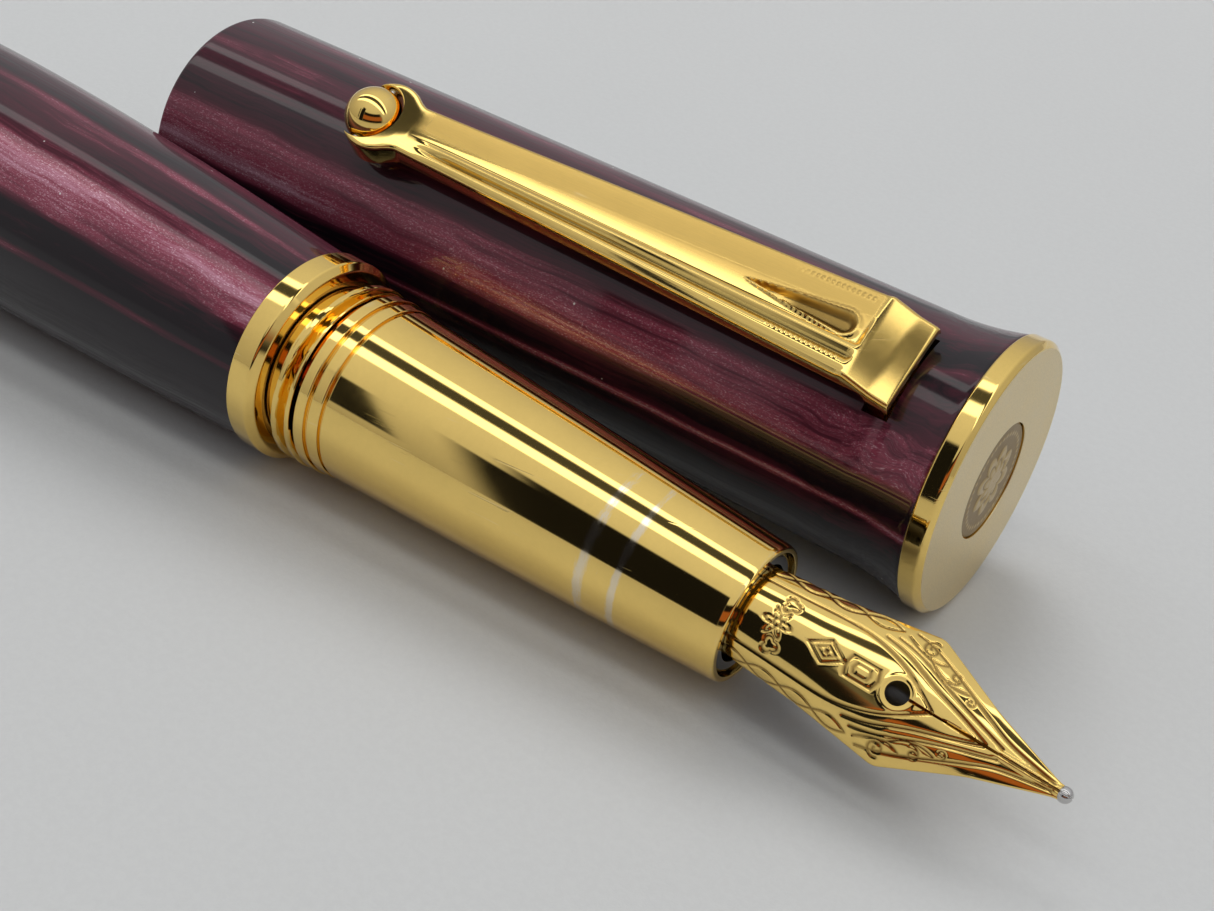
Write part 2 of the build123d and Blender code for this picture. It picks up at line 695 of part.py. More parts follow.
with BuildPart() as clip_ball_pin:
    with BuildSketch(CLIP_PLANE):
        with Locations((BALL_STATION, BALL_HEIGHT)):
            Circle(0.37)
    extrude(amount=FORK_HALF - 0.15, both=True)
finish(clip_ball_pin, "clip_ball_pin")
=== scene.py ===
"""Fountain pen in marbled resin with gold fittings, and its ball-clip cap beside it.

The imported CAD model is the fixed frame. Each operator adds or finishes one group of pieces around
it. Lengths inside the shape functions are in millimetres; meshes are written in metres. A station
is a distance along an axis from the nib's tip (pen) or from the crown's face (cap), and it grows
more negative towards the other end.
"""
import json
import math

import bpy
import numpy as np
from bpy.props import FloatProperty, FloatVectorProperty, IntProperty, PointerProperty
from mathutils import Matrix


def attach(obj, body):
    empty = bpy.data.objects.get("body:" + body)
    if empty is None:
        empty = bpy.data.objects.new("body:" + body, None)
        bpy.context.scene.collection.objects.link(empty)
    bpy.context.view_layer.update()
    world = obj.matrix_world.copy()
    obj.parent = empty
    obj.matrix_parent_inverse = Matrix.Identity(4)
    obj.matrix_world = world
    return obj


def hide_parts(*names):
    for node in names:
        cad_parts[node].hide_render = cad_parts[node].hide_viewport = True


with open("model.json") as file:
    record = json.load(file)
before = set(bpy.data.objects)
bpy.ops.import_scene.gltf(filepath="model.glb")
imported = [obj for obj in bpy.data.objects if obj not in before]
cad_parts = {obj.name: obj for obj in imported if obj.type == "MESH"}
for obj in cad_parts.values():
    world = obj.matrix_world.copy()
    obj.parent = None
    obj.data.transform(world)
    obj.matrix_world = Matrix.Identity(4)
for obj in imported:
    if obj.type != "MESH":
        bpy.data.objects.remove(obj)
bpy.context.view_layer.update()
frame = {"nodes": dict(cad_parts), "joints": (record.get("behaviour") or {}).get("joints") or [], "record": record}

bl_info = {
    "name": "Marbled Fountain Pen",
    "version": (1, 0, 0),
    "blender": (4, 5, 0),
    "location": "View3D > Sidebar > Pen",
    "description": "Builds the visible pieces of a fountain pen around its packed model",
    "category": "Add Mesh",
}

MM = 0.001
TAU = 2 * math.pi

# ---------------------------------------------------------------- the frame's own lines
MOUNTS = {m["name"]: m for m in frame["record"]["mounts"]}
JOINTS = {j["name"]: j for j in frame["joints"]}
PEN_LENGTH = 132.0
CROWN_MARK_HEIGHT = 6.5      # the crown mount sits this far above the cap's axis


def unit(vector):
    """The vector divided by its length."""
    vector = np.asarray(vector, float)
    return vector / np.linalg.norm(vector)


class Line:
    """A straight axis with an upward and a sideways direction square to it."""

    def __init__(self, origin, along, up):
        self.origin = np.asarray(origin, float)
        self.along = unit(along)
        self.up = unit(np.asarray(up, float) - np.dot(up, self.along) * self.along)
        self.side = np.cross(self.along, self.up)

    def turned_by(self, angle):
        """The same line with its upward direction turned towards its sideways one."""
        up = math.cos(angle) * self.up + math.sin(angle) * self.side
        return Line(self.origin, self.along, up)

    def polar(self, station, radius, angle):
        """origin + station*along + radius*(cos(angle)*up + sin(angle)*side)."""
        return self.flat(station, radius * np.cos(angle), radius * np.sin(angle))

    def flat(self, station, height, across):
        """origin + station*along + height*up + across*side."""
        station, height, across = np.broadcast_arrays(station, height, across)
        return (
            self.origin
            + station[..., None] * self.along
            + height[..., None] * self.up
            + across[..., None] * self.side
        )


_ALONG = unit(JOINTS["nib_pull"]["axis"])
_TIP = np.array(MOUNTS["tail_face"]["pos_m"]) / MM + _ALONG * PEN_LENGTH
_CROWN = np.array(MOUNTS["crown_face"]["pos_m"]) / MM - (0, 0, CROWN_MARK_HEIGHT)
PEN = Line(_TIP, _ALONG, (0, 0, 1))
NIB_ROLL = math.radians(44.0)
NIB = PEN.turned_by(NIB_ROLL)
SWIRL_START = float(_CROWN[0]) - 12.0
_CLIP_SIDE = unit(JOINTS["ball_roll"]["axis"])
CAP = Line(_CROWN, (1, 0, 0), np.cross(_CLIP_SIDE, (1, 0, 0)))


# ================================================================ settings
def length(name, text, millimetres, low=0.0, high=200.0):
    """A length property whose default is given in millimetres."""
    return FloatProperty(
        name=name, description=text, default=millimetres * MM, min=low * MM, max=high * MM,
        subtype="DISTANCE", unit="LENGTH", precision=5,
    )


def colour(name, text, red, green, blue):
    """A linear colour property."""
    return FloatVectorProperty(
        name=name, description=text, default=(red, green, blue, 1.0), size=4, min=0.0, max=1.0,
        subtype="COLOR",
    )


def amount(name, text, value, low=0.0, high=1.0):
    """A plain factor."""
    return FloatProperty(name=name, description=text, default=value, min=low, max=high)


def degrees(name, text, value):
    """An angle property whose default is given in degrees."""
    return FloatProperty(
        name=name, description=text, default=math.radians(value), subtype="ANGLE", unit="ROTATION"
    )


class PenSizes(bpy.types.PropertyGroup):
    """Sizes of the visible pieces."""

    segments: IntProperty(
        name="Segments", description="Faces around each turned piece", default=224, min=24, max=512
    )
    grip_front_radius: length("Grip front radius", "Radius of the gold grip at the nib", 4.65)
    grip_back_radius: length("Grip back radius", "Radius of the gold grip at the bands", 6.15)
    ring_radius: length("Ring radius", "Radius of the gold ring at the barrel's mouth", 7.3)
    belly_radius: length("Belly radius", "Widest radius of the barrel", 8.5)
    tail_radius: length("Tail radius", "Radius of the tail disc", 8.2)
    cap_radius: length("Cap radius", "Outer radius of the cap", 8.8)
    crown_radius: length("Crown radius", "Radius of the crown disc", 9.6)
    medallion_radius: length("Medallion radius", "Radius of the crown's medallion", 4.05)
    ball_radius: length("Ball radius", "Radius of the clip's ball", 2.1)
    clip_root_width: length("Clip root width", "Width of the clip where it enters the cap", 6.5)
    clip_neck_width: length("Clip neck width", "Width of the clip at its neck", 4.0)
    nib_thickness: length("Nib thickness", "Sheet thickness of the nib", 0.35)
    engraving_depth: length("Engraving depth", "Depth of the nib's engraved lines", 0.07)


class PenColours(bpy.types.PropertyGroup):
    """Colours and finishes."""

    resin_dark: colour("Resin dark", "Charcoal ground of the resin", 0.008, 0.004, 0.007)
    resin_wine: colour("Resin wine", "Burgundy bands of the resin", 0.070, 0.010, 0.022)
    resin_rose: colour("Resin rose", "Rose bands of the resin", 0.28, 0.054, 0.092)
    resin_pearl: colour("Resin pearl", "Palest pearl streaks", 0.74, 0.42, 0.54)
    gold: colour("Gold", "Polished plate", 0.98, 0.69, 0.21)
    # Painted shade: gold darkened inside the nib's engraved grooves and its slit
    gold_painted_groove_shade: colour("Deep gold", "Gold inside grooves", 0.17, 0.085, 0.02)
    gold_aged: colour("Aged gold", "Gold of the clip's satin plane", 0.62, 0.40, 0.11)
    satin_gold: colour("Satin gold", "Brushed discs", 0.86, 0.70, 0.40)
    silver: colour("Silver", "Metal under worn plating", 0.80, 0.79, 0.76)
    floor: colour("Floor", "The surface under the pen", 0.56, 0.57, 0.57)
    gold_roughness: amount("Gold roughness", "Roughness of the polished plate", 0.06)
    satin_roughness: amount("Satin roughness", "Roughness of the brushed discs", 0.34)


class PenStage(bpy.types.PropertyGroup):
    """Camera, floor and light."""

    azimuth: degrees("Azimuth", "Camera's turn about the vertical", 30.453)
    elevation: degrees("Elevation", "Camera's height angle", 34.591)
    roll: degrees("Roll", "Camera's roll about its line of sight", 8.836)
    distance: length("Distance", "Camera to target", 127.306, 10, 2000)
    lens: FloatProperty(name="Lens", description="Focal length in millimetres", default=52.70)
    target_back: length("Target back", "Target's distance behind the nib's tip", 40.996)
    target_aside: length("Target aside", "Target's distance from the pen's line", 14.201)
    floor_size: length("Floor size", "Side of the square floor", 3000, 100, 9000)
    world_strength: amount("World strength", "Brightness of the surroundings", 0.89, 0, 20)
    key_power: amount("Key power", "Watts of the large key light", 3.0, 0, 500)


# ================================================================ mesh making
def write_mesh(name, points, faces, corner_uv=None, attributes=None, face_material=None,
               materials=(), sharp=38.0):
    """Makes a closed mesh object from points (mm) and quads, all as whole arrays.

    A quad whose last corner repeats its third is a triangle. The signed volume (the sum of each
    triangle's corner triple product) tells whether the faces point inwards, and turns them if so.
    """
    a, b, c, d = (points[faces[:, k]] for k in range(4))
    volume = np.einsum("ij,ij->", a, np.cross(b, c)) + np.einsum("ij,ij->", a, np.cross(c, d))
    if volume < 0:
        faces = faces[:, ::-1]
        corner_uv = None if corner_uv is None else corner_uv[:, ::-1]
        # a triangle now repeats its first corner; bring the repeat to the end again
        repeats = faces[:, 0] == faces[:, 1]
        faces = np.where(repeats[:, None], np.roll(faces, -1, axis=1), faces)
        if corner_uv is not None:
            corner_uv = np.where(
                repeats[:, None, None], np.roll(corner_uv, -1, axis=1), corner_uv
            )
    distinct = np.ones(faces.shape, bool)
    distinct[:, 3] = (faces[:, 3] != faces[:, 2]) & (faces[:, 3] != faces[:, 0])
    totals = distinct.sum(1)
    corners = faces[distinct]
    mesh = bpy.data.meshes.new(name)
    mesh.vertices.add(len(points))
    mesh.vertices.foreach_set("co", (points * MM).astype(np.float32).ravel())
    mesh.loops.add(len(corners))
    mesh.loops.foreach_set("vertex_index", corners.astype(np.int32))
    mesh.polygons.add(len(faces))
    starts = np.concatenate(([0], np.cumsum(totals)[:-1])).astype(np.int32)
    mesh.polygons.foreach_set("loop_start", starts)
    if face_material is not None:
        mesh.polygons.foreach_set("material_index", face_material.astype(np.int32))
    mesh.update(calc_edges=True)
    if corner_uv is not None:
        layer = mesh.uv_layers.new(name="UVMap")
        layer.data.foreach_set("uv", corner_uv[distinct].astype(np.float32).ravel())
    for key, values in (attributes or {}).items():
        mesh.attributes.new(key, "FLOAT", "POINT").data.foreach_set(
            "value", values.astype(np.float32).ravel()
        )
    mesh.validate()
    mesh.shade_smooth()
    mesh.set_sharp_from_angle(angle=math.radians(sharp))
    made = bpy.data.objects.new(name, mesh)
    for material in materials:
        mesh.materials.append(finish(material))
    bpy.context.scene.collection.objects.link(made)
    return made


def grid_faces(rows, columns, wrap_rows=False, wrap_columns=False):
    """Quads of a grid, with each face's row and column, as whole arrays."""
    row = np.arange(rows if wrap_rows else rows - 1)
    column = np.arange(columns if wrap_columns else columns - 1)
    row, column = (g.ravel() for g in np.meshgrid(row, column, indexing="ij"))
    after, beside = (row + 1) % rows, (column + 1) % columns
    quads = np.stack(
        [row * columns + column, row * columns + beside, after * columns + beside,
         after * columns + column], 1,
    )
    return quads, row, column


def corner_pairs(u0, u1, v0, v1):
    """The four (u, v) pairs of every quad, in the order of grid_faces."""
    return np.stack([np.stack(pair, 1) for pair in ((u0, v0), (u1, v0), (u1, v1), (u0, v1))], 1)


def rounded(corners, steps=6):
    """A closed outline with eased corners; each corner is (station, radius, easing).

    Every corner becomes the quadratic curve between the two points an easing away along its
    edges, with one more point just outside each end so that flat faces stay flat when shaded.
    """
    corners = np.asarray(corners, float)
    here, easing = corners[:, :2], corners[:, 2]
    before, after = np.roll(here, 1, 0) - here, np.roll(here, -1, 0) - here
    long_before, long_after = np.linalg.norm(before, axis=1), np.linalg.norm(after, axis=1)
    reach = np.minimum(easing, 0.42 * np.minimum(long_before, long_after))
    start = here + before / long_before[:, None] * reach[:, None]
    stop = here + after / long_after[:, None] * reach[:, None]
    k = np.linspace(0, 1, steps)[None, :, None]
    curve = (1 - k) ** 2 * start[:, None] + 2 * k * (1 - k) * here[:, None] + k**2 * stop[:, None]
    lead = here + before / long_before[:, None] * (reach * 1.18)[:, None]
    trail = here + after / long_after[:, None] * (reach * 1.18)[:, None]
    path = np.concatenate([lead[:, None], curve, trail[:, None]], 1).reshape(-1, 2)
    keep = np.linalg.norm(path - np.roll(path, 1, 0), axis=1) > 5e-5
    return path[keep]


def turned(name, line, outline, segments, materials, relief=None, face_paint=None, marks=None):
    """A turned piece: the closed outline (station, radius) carried round the line.

    Points are line.polar(station, radius, angle) after the relief's shifts are added to the first
    two. Outline points on the axis (radius 0) become one pole with a fan of triangles round it.
    """
    station, radius = outline.T
    angle = np.linspace(-math.pi, math.pi, segments, endpoint=False)
    grid_s, grid_a = np.meshgrid(station, angle, indexing="ij")
    grid_r = np.repeat(radius[:, None], segments, 1)
    if relief is not None:
        shift_s, shift_r = relief(grid_s, grid_r, grid_a)
        grid_s, grid_r = grid_s + shift_s, grid_r + shift_r
    points = line.polar(grid_s, grid_r, grid_a).reshape(-1, 3)
    rows = len(station)
    quads, row, column = grid_faces(rows, segments, wrap_rows=True, wrap_columns=True)
    on_axis = radius < 1e-6
    # the closing edge between two axis points has no area, so its faces are left out
    both = on_axis[row] & on_axis[(row + 1) % rows]
    quads, row, column = quads[~both], row[~both], column[~both]
    # every vertex of an axis row becomes that row's first vertex
    merged = np.where(on_axis[quads // segments], (quads // segments) * segments, quads)
    travel = np.concatenate(([0], np.cumsum(np.linalg.norm(np.diff(outline, axis=0), axis=1))))
    u0, u1 = column / segments, (column + 1) / segments
    v0, v1 = travel[row], np.append(travel, travel[-1])[row + 1]
    uv = corner_pairs(u0, u1, v0, v1)
    # a fan's triangle keeps three corners: the repeated one goes last
    first_pair = on_axis[row]
    merged = np.where(first_pair[:, None], merged[:, [2, 3, 0, 1]], merged)
    uv = np.where(first_pair[:, None, None], uv[:, [2, 3, 0, 1]], uv)
    used, compact = np.unique(merged, return_inverse=True)
    compact = compact.reshape(merged.shape)
    paint = None if face_paint is None else face_paint(station[row], radius[row])
    marked = marks(grid_s, grid_r, grid_a) if marks else {}
    values = {key: a.ravel()[used] for key, a in marked.items()}
    return write_mesh(name, points[used], compact, uv, values, paint, materials)


def solid_between(name, outer, inner, materials, wrap=False, keep=None, attributes=None,
                  spans=(1.0, 1.0), sharp=38.0):
    """The closed solid between two surfaces that share one grid.

    Cells that keep leaves out become an opening. An edge used by one kept cell only is on a rim,
    and a quad there joins the outer surface to the inner one.
    """
    rows, columns = outer.shape[:2]
    quads, row, column = grid_faces(rows, columns, wrap_columns=wrap)
    if keep is not None:
        held = keep[row, column]
        quads, row, column = quads[held], row[held], column[held]
    count = rows * columns
    edges = np.concatenate([np.stack([quads[:, k], quads[:, (k + 1) % 4]], 1) for k in range(4)])
    code, twin = edges[:, 0] * count + edges[:, 1], edges[:, 1] * count + edges[:, 0]
    rim = edges[~np.isin(code, twin)]
    walls = np.stack([rim[:, 1], rim[:, 0], rim[:, 0] + count, rim[:, 1] + count], 1)
    faces = np.concatenate([quads, quads[:, ::-1] + count, walls])
    points = np.concatenate([outer.reshape(-1, 3), inner.reshape(-1, 3)])
    across = max(columns - (0 if wrap else 1), 1)
    u0, u1 = column / across * spans[0], (column + 1) / across * spans[0]
    v0, v1 = row / (rows - 1) * spans[1], (row + 1) / (rows - 1) * spans[1]
    uv = corner_pairs(u0, u1, v0, v1)
    plain = np.stack([rim[:, [1, 0, 0, 1]] % columns / across * spans[0],
                      rim[:, [1, 0, 0, 1]] // columns / (rows - 1) * spans[1]], 2)
    uv = np.concatenate([uv, uv[:, ::-1], plain])
    used, compact = np.unique(faces, return_inverse=True)
    values = {key: np.concatenate([a.ravel(), a.ravel()])[used]
              for key, a in (attributes or {}).items()}
    return write_mesh(name, points[used], compact.reshape(faces.shape), uv, values,
                      materials=materials, sharp=sharp)


def place(piece, body, slot, *nodes):
    """Rides a finished piece on its body and hides the nodes it stands for. The slot is not used."""
    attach(piece, body)
    if nodes:
        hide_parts(*nodes)
    return piece


def smooth(edge0, edge1, value):
    """0 below edge0, 1 above edge1, and an S-curve between."""
    k = np.clip((value - edge0) / (edge1 - edge0), 0, 1)
    return k * k * (3 - 2 * k)


def hump(value, centre, width):
    """A bell of height 1 at the centre: exp(-((value - centre) / width)^2)."""
    return np.exp(-(((value - centre) / width) ** 2))


def spline(knots, values, at):
    """The natural cubic through (knots, values), read at the given places.

    Second derivatives come from the usual tridiagonal system with zero curvature at both ends.
    """
    order = np.argsort(knots)
    x, y = np.asarray(knots, float)[order], np.asarray(values, float)[order]
    h, n = np.diff(x), len(x)
    system, right = np.eye(n), np.zeros(n)
    inside = np.arange(1, n - 1)
    system[inside, inside - 1], system[inside, inside + 1] = h[:-1], h[1:]
    system[inside, inside] = 2 * (h[:-1] + h[1:])
    right[inside] = 6 * (np.diff(y)[1:] / h[1:] - np.diff(y)[:-1] / h[:-1])
    bend = np.linalg.solve(system, right)
    k = np.clip(np.searchsorted(x, at) - 1, 0, n - 2)
    a, b = (x[k + 1] - at) / h[k], (at - x[k]) / h[k]
    bent = (a**3 - a) * bend[k] + (b**3 - b) * bend[k + 1]
    return a * y[k] + b * y[k + 1] + bent * h[k] ** 2 / 6


def distance_to(path, station, across):
    """Shortest distance from each grid point to a drawn path, over all of its segments at once."""
    start, stop = path[:-1], path[1:]
    step = stop - start
    size = np.maximum((step**2).sum(1), 1e-12)
    best = np.full(station.size, np.inf)
    spots = np.stack([station.ravel(), across.ravel()], 1)
    low, high = path.min(0) - 0.5, path.max(0) + 0.5
    near = np.all((spots > low) & (spots < high), 1)
    offset = spots[near][:, None] - start
    share = np.clip((offset * step).sum(2) / size, 0, 1)
    gap = offset - share[..., None] * step
    best[near] = np.sqrt((gap**2).sum(2)).min(1)
    return best.reshape(station.shape)


# ================================================================ material making
def add(tree, kind, settings=None, inputs=()):
    """Adds a node. Inputs are (socket name or number, value or output socket) pairs."""
    made = tree.nodes.new("ShaderNode" + kind)
    for key, value in (settings or {}).items():
        setattr(made, key, value)
    for key, value in inputs:
        feed(tree, made, key, value)
    return made


def feed(tree, made, key, value):
    """Links an output into a socket, or writes a plain value on it."""
    if isinstance(value, bpy.types.NodeSocket):
        tree.links.new(value, made.inputs[key])
    else:
        made.inputs[key].default_value = value


def maths(tree, kind, a, b, c=None):
    """The output of a Math node."""
    pairs = [(0, a), (1, b)] + ([] if c is None else [(2, c)])
    return add(tree, "Math", {"operation": kind}, pairs).outputs[0]


def times(tree, a, b):
    """The product of two values."""
    return maths(tree, "MULTIPLY", a, b)


def plus(tree, a, b):
    """The sum of two values."""
    return maths(tree, "ADD", a, b)


def rescale(tree, value, low, high, to_low=0.0, to_high=1.0):
    """Value taken from low..high to to_low..to_high with a soft step."""
    return add(tree, "MapRange", {"interpolation_type": "SMOOTHSTEP"}, [
        ("Value", value), ("From Min", low), ("From Max", high),
        ("To Min", to_low), ("To Max", to_high)]).outputs["Result"]


def blend_colour(tree, share, a, b, kind="MIX"):
    """Mixes two colours by a share."""
    made = add(tree, "Mix", {"data_type": "RGBA", "blend_type": kind, "clamp_factor": True})
    feed(tree, made, 0, share)
    feed(tree, made, 6, a)
    feed(tree, made, 7, b)
    return made.outputs[2]


def noise(tree, vector, scale, detail=3.0, roughness=0.5, distortion=0.0):
    """The factor of a noise texture."""
    return add(tree, "TexNoise", None, [
        ("Vector", vector), ("Scale", scale), ("Detail", detail), ("Roughness", roughness),
        ("Distortion", distortion)]).outputs["Fac"]


def stretched(tree, vector, scale, turn=(0, 0, 0)):
    """The vector turned, then scaled by each axis."""
    return add(tree, "Mapping", None, [
        ("Vector", vector), ("Rotation", turn), ("Scale", scale)]).outputs["Vector"]


def new_group(name, sockets_in, sockets_out):
    """An empty shader node group with named sockets; returns its tree, inputs and output node."""
    tree = bpy.data.node_groups.new(name, "ShaderNodeTree")
    kinds = {"v": "NodeSocketVector", "f": "NodeSocketFloat", "c": "NodeSocketColor"}
    for label, kind in sockets_in:
        tree.interface.new_socket(label, in_out="INPUT", socket_type=kinds[kind])
    for label, kind in sockets_out:
        tree.interface.new_socket(label, in_out="OUTPUT", socket_type=kinds[kind])
    inner = tree.nodes.new("NodeGroupInput").outputs
    return tree, inner, tree.nodes.new("NodeGroupOutput")


def use_group(tree, name, **values):
    """Places a node group in a tree and feeds its named inputs; returns its outputs."""
    made = tree.nodes.new("ShaderNodeGroup")
    made.node_tree = bpy.data.node_groups[name]
    for key, value in values.items():
        feed(tree, made, key.replace("_", " "), value)
    return made.outputs


def object_mm(tree):
    """Object coordinates in millimetres."""
    coords = add(tree, "TexCoord").outputs["Object"]
    return stretched(tree, coords, (1000, 1000, 1000))


FINISH = "pen_finish_"


def finish(name):
    """The finish made under this name."""
    return bpy.data.materials[FINISH + name]


def new_material(name):
    """A node material; returns its tree and Principled node."""
    material = bpy.data.materials.new(FINISH + name)
    material.use_nodes = True
    return material.node_tree, material.node_tree.nodes["Principled BSDF"]


def bump(tree, shader, height, distance, strength=1.0):
    """Feeds a height through a Bump node into the shader's normal; distance in metres."""
    made = add(tree, "Bump", None, [
        ("Height", height), ("Distance", distance), ("Strength", strength)])
    tree.links.new(made.outputs["Normal"], shader.inputs["Normal"])


# ---------------------------------------------------------------- shared effects
def group_scratches():
    """Hairline scratches: thin sheets of noise cut the surface in long lines, in patches."""
    tree, inner, out = new_group(
        "FineScratches", [("Vector", "v"), ("Amount", "f")], [("Mask", "f"), ("Height", "f")]
    )
    masks = []
    for turn in ((0.3, 0.5, 0.9), (0.8, -0.4, -1.1)):
        sheets = stretched(tree, inner["Vector"], (0.12, 0.12, 6.5), turn)
        field = noise(tree, sheets, 1.0, 2.0, 0.6)
        masks.append(rescale(tree, field, 0.65, 0.74))
    lines = maths(tree, "MAXIMUM", masks[0], masks[1])
    patches = rescale(tree, noise(tree, inner["Vector"], 0.35, 2.0), 0.5, 0.68)
    mask = times(tree, times(tree, lines, patches), inner["Amount"])
    tree.links.new(mask, out.inputs["Mask"])
    tree.links.new(maths(tree, "SUBTRACT", 1.0, mask), out.inputs["Height"])


def group_dust():
    """Dust: small dots at the centres of scattered cells, most cells left empty."""
    tree, inner, out = new_group(
        "DustSpecks", [("Vector", "v"), ("Spacing", "f"), ("Size", "f")], [("Mask", "f")]
    )
    cells = add(tree, "TexVoronoi", None, [("Vector", inner["Vector"]), ("Scale", inner["Spacing"]),
                                            ("Randomness", 1.0)])
    dot = add(tree, "Math", {"operation": "LESS_THAN"},
              [(0, cells.outputs["Distance"]), (1, inner["Size"])]).outputs[0]
    pick = add(tree, "SeparateColor", None, [("Color", cells.outputs["Color"])]).outputs[0]
    chosen = add(tree, "Math", {"operation": "GREATER_THAN"}, [(0, pick), (1, 0.72)]).outputs[0]
    tree.links.new(times(tree, dot, chosen), out.inputs["Mask"])


def group_handling():
    """Handling marks: slow patches of haze that change roughness and tone a little."""
    tree, inner, out = new_group(
        "HandlingHaze", [("Vector", "v"), ("Base", "f"), ("Spread", "f")],
        [("Roughness", "f"), ("Tone", "f")],
    )
    slow = noise(tree, inner["Vector"], 0.22, 4.0, 0.6)
    fine = noise(tree, inner["Vector"], 2.4, 3.0, 0.6)
    haze = plus(tree, times(tree, slow, 0.7), times(tree, fine, 0.3))
    tree.links.new(
        plus(tree, inner["Base"],
               times(tree, maths(tree, "SUBTRACT", haze, 0.45), inner["Spread"])),
        out.inputs["Roughness"],
    )
    tree.links.new(rescale(tree, haze, 0.3, 0.7, 0.93, 1.0), out.inputs["Tone"])


def group_brushed():
    """Brushing: fine grain lines from a noise stretched along one direction of the vector."""
    tree, inner, out = new_group(
        "BrushedGrain", [("Vector", "v"), ("Strength", "f")], [("Height", "f"), ("Tone", "f")]
    )
    grain = noise(tree, inner["Vector"], 1.0, 4.0, 0.7)
    tree.links.new(times(tree, grain, inner["Strength"]), out.inputs["Height"])
    tree.links.new(rescale(tree, grain, 0.3, 0.7, 0.86, 1.0), out.inputs["Tone"])


def group_resin():
    """Marbled resin: lengthwise bands, fibres and sparkle from stretched noises of one vector.

    The band value is a coarse stretched noise plus the lean input, so that a piece can ask for
    paler or darker bands at chosen angles. Swirl bends the vector before the noises are read.
    """
    tree, inner, out = new_group(
        "MarbledResin", [("Vector", "v"), ("Lean", "f"), ("Swirl", "f")],
        [("Band", "f"), ("Fibre", "f"), ("Sparkle", "f")],
    )
    bend = add(tree, "TexNoise", None,
               [("Vector", inner["Vector"]), ("Scale", 0.16), ("Detail", 2.0)])
    centred = add(tree, "VectorMath", {"operation": "SUBTRACT"},
                  [(0, bend.outputs["Color"]), (1, (0.5, 0.5, 0.5))]).outputs[0]
    pushed = add(tree, "VectorMath", {"operation": "SCALE"},
                 [(0, centred), ("Scale", inner["Swirl"])])
    bent = add(tree, "VectorMath", {"operation": "ADD"},
               [(0, inner["Vector"]), (1, pushed.outputs[0])]).outputs[0]
    coarse = noise(tree, stretched(tree, bent, (0.014, 0.30, 0.30)), 1.0, 2.0, 0.5)
    fibre = noise(tree, stretched(tree, bent, (0.045, 4.2, 4.2)), 1.0, 4.0, 0.6)
    clouds = noise(tree, stretched(tree, bent, (0.07, 1.1, 1.1)), 1.0, 4.0, 0.55)
    value = maths(tree, "MULTIPLY_ADD", maths(tree, "SUBTRACT", coarse, 0.5), 0.75, inner["Lean"])
    value = maths(tree, "MULTIPLY_ADD", maths(tree, "SUBTRACT", fibre, 0.5), 0.32, value)
    value = maths(tree, "MULTIPLY_ADD", maths(tree, "SUBTRACT", clouds, 0.5), 0.32, value)
    glitter = noise(tree, stretched(tree, bent, (5.0, 14.0, 14.0)), 1.0, 2.0, 0.7)
    tree.links.new(value, out.inputs["Band"])
    tree.links.new(fibre, out.inputs["Fibre"])
    tree.links.new(rescale(tree, glitter, 0.52, 0.80), out.inputs["Sparkle"])


def resin_material(name, colours, lean_stops, swirl_zone, turn):
    """Polished pearl resin. Lean stops are (share of a turn, lean) round the piece's UV."""
    tree, shader = new_material(name)
    vector = stretched(tree, object_mm(tree), (1, 1, 1), turn)
    uv = add(tree, "SeparateXYZ", None, [(0, add(tree, "TexCoord").outputs["UV"])])
    ramp = add(tree, "ValToRGB", None, [("Fac", uv.outputs["X"])])
    ramp.color_ramp.interpolation = "EASE"
    ramp.color_ramp.elements.remove(ramp.color_ramp.elements[1])
    for at, lean in lean_stops:
        stop = ramp.color_ramp.elements.new(at)
        stop.color = (lean, lean, lean, 1)
    ramp.color_ramp.elements.remove(ramp.color_ramp.elements[0])
    place_x = add(tree, "SeparateXYZ", None, [(0, vector)]).outputs["X"]
    swirl = rescale(tree, place_x, swirl_zone[0], swirl_zone[1], 0.8, swirl_zone[2])
    marbled = use_group(tree, "MarbledResin", Vector=vector, Swirl=swirl,
                        Lean=ramp.outputs["Color"])
    tone = add(tree, "ValToRGB", None, [("Fac", marbled["Band"])])
    stops = [(0.24, colours.resin_dark), (0.44, colours.resin_wine), (0.62, colours.resin_rose),
             (0.84, colours.resin_pearl)]
    elements = tone.color_ramp.elements
    elements[0].position, elements[0].color = stops[0][0], stops[0][1]
    elements[1].position, elements[1].color = stops[3][0], stops[3][1]
    for at, value in stops[1:3]:
        elements.new(at).color = value
    pearl = rescale(tree, marbled["Band"], 0.42, 0.75)
    glint = times(tree, marbled["Sparkle"], pearl)
    tinted = blend_colour(tree, glint, tone.outputs["Color"], (0.95, 0.72, 0.82, 1))
    dust = use_group(tree, "DustSpecks", Vector=vector, Spacing=0.55, Size=0.045)["Mask"]
    tinted = blend_colour(tree, dust, tinted, (0.62, 0.60, 0.60, 1))
    tree.links.new(tinted, shader.inputs["Base Color"])
    tree.links.new(rescale(tree, pearl, 0, 1, 0.05, 0.62), shader.inputs["Metallic"])
    grain = rescale(tree, marbled["Fibre"], 0.3, 0.7, 0.30, 0.48)
    tree.links.new(grain, shader.inputs["Roughness"])
    shader.inputs["Coat Weight"].default_value = 0.75
    shader.inputs["Coat Roughness"].default_value = 0.03
    shader.inputs["Coat IOR"].default_value = 1.42
    shader.inputs["Specular IOR Level"].default_value = 0.12
    scratches = use_group(tree, "FineScratches", Vector=vector, Amount=0.6)
    height = maths(tree, "MULTIPLY_ADD", marbled["Fibre"], 0.35, scratches["Height"])
    bump(tree, shader, height, 0.000012, 0.6)


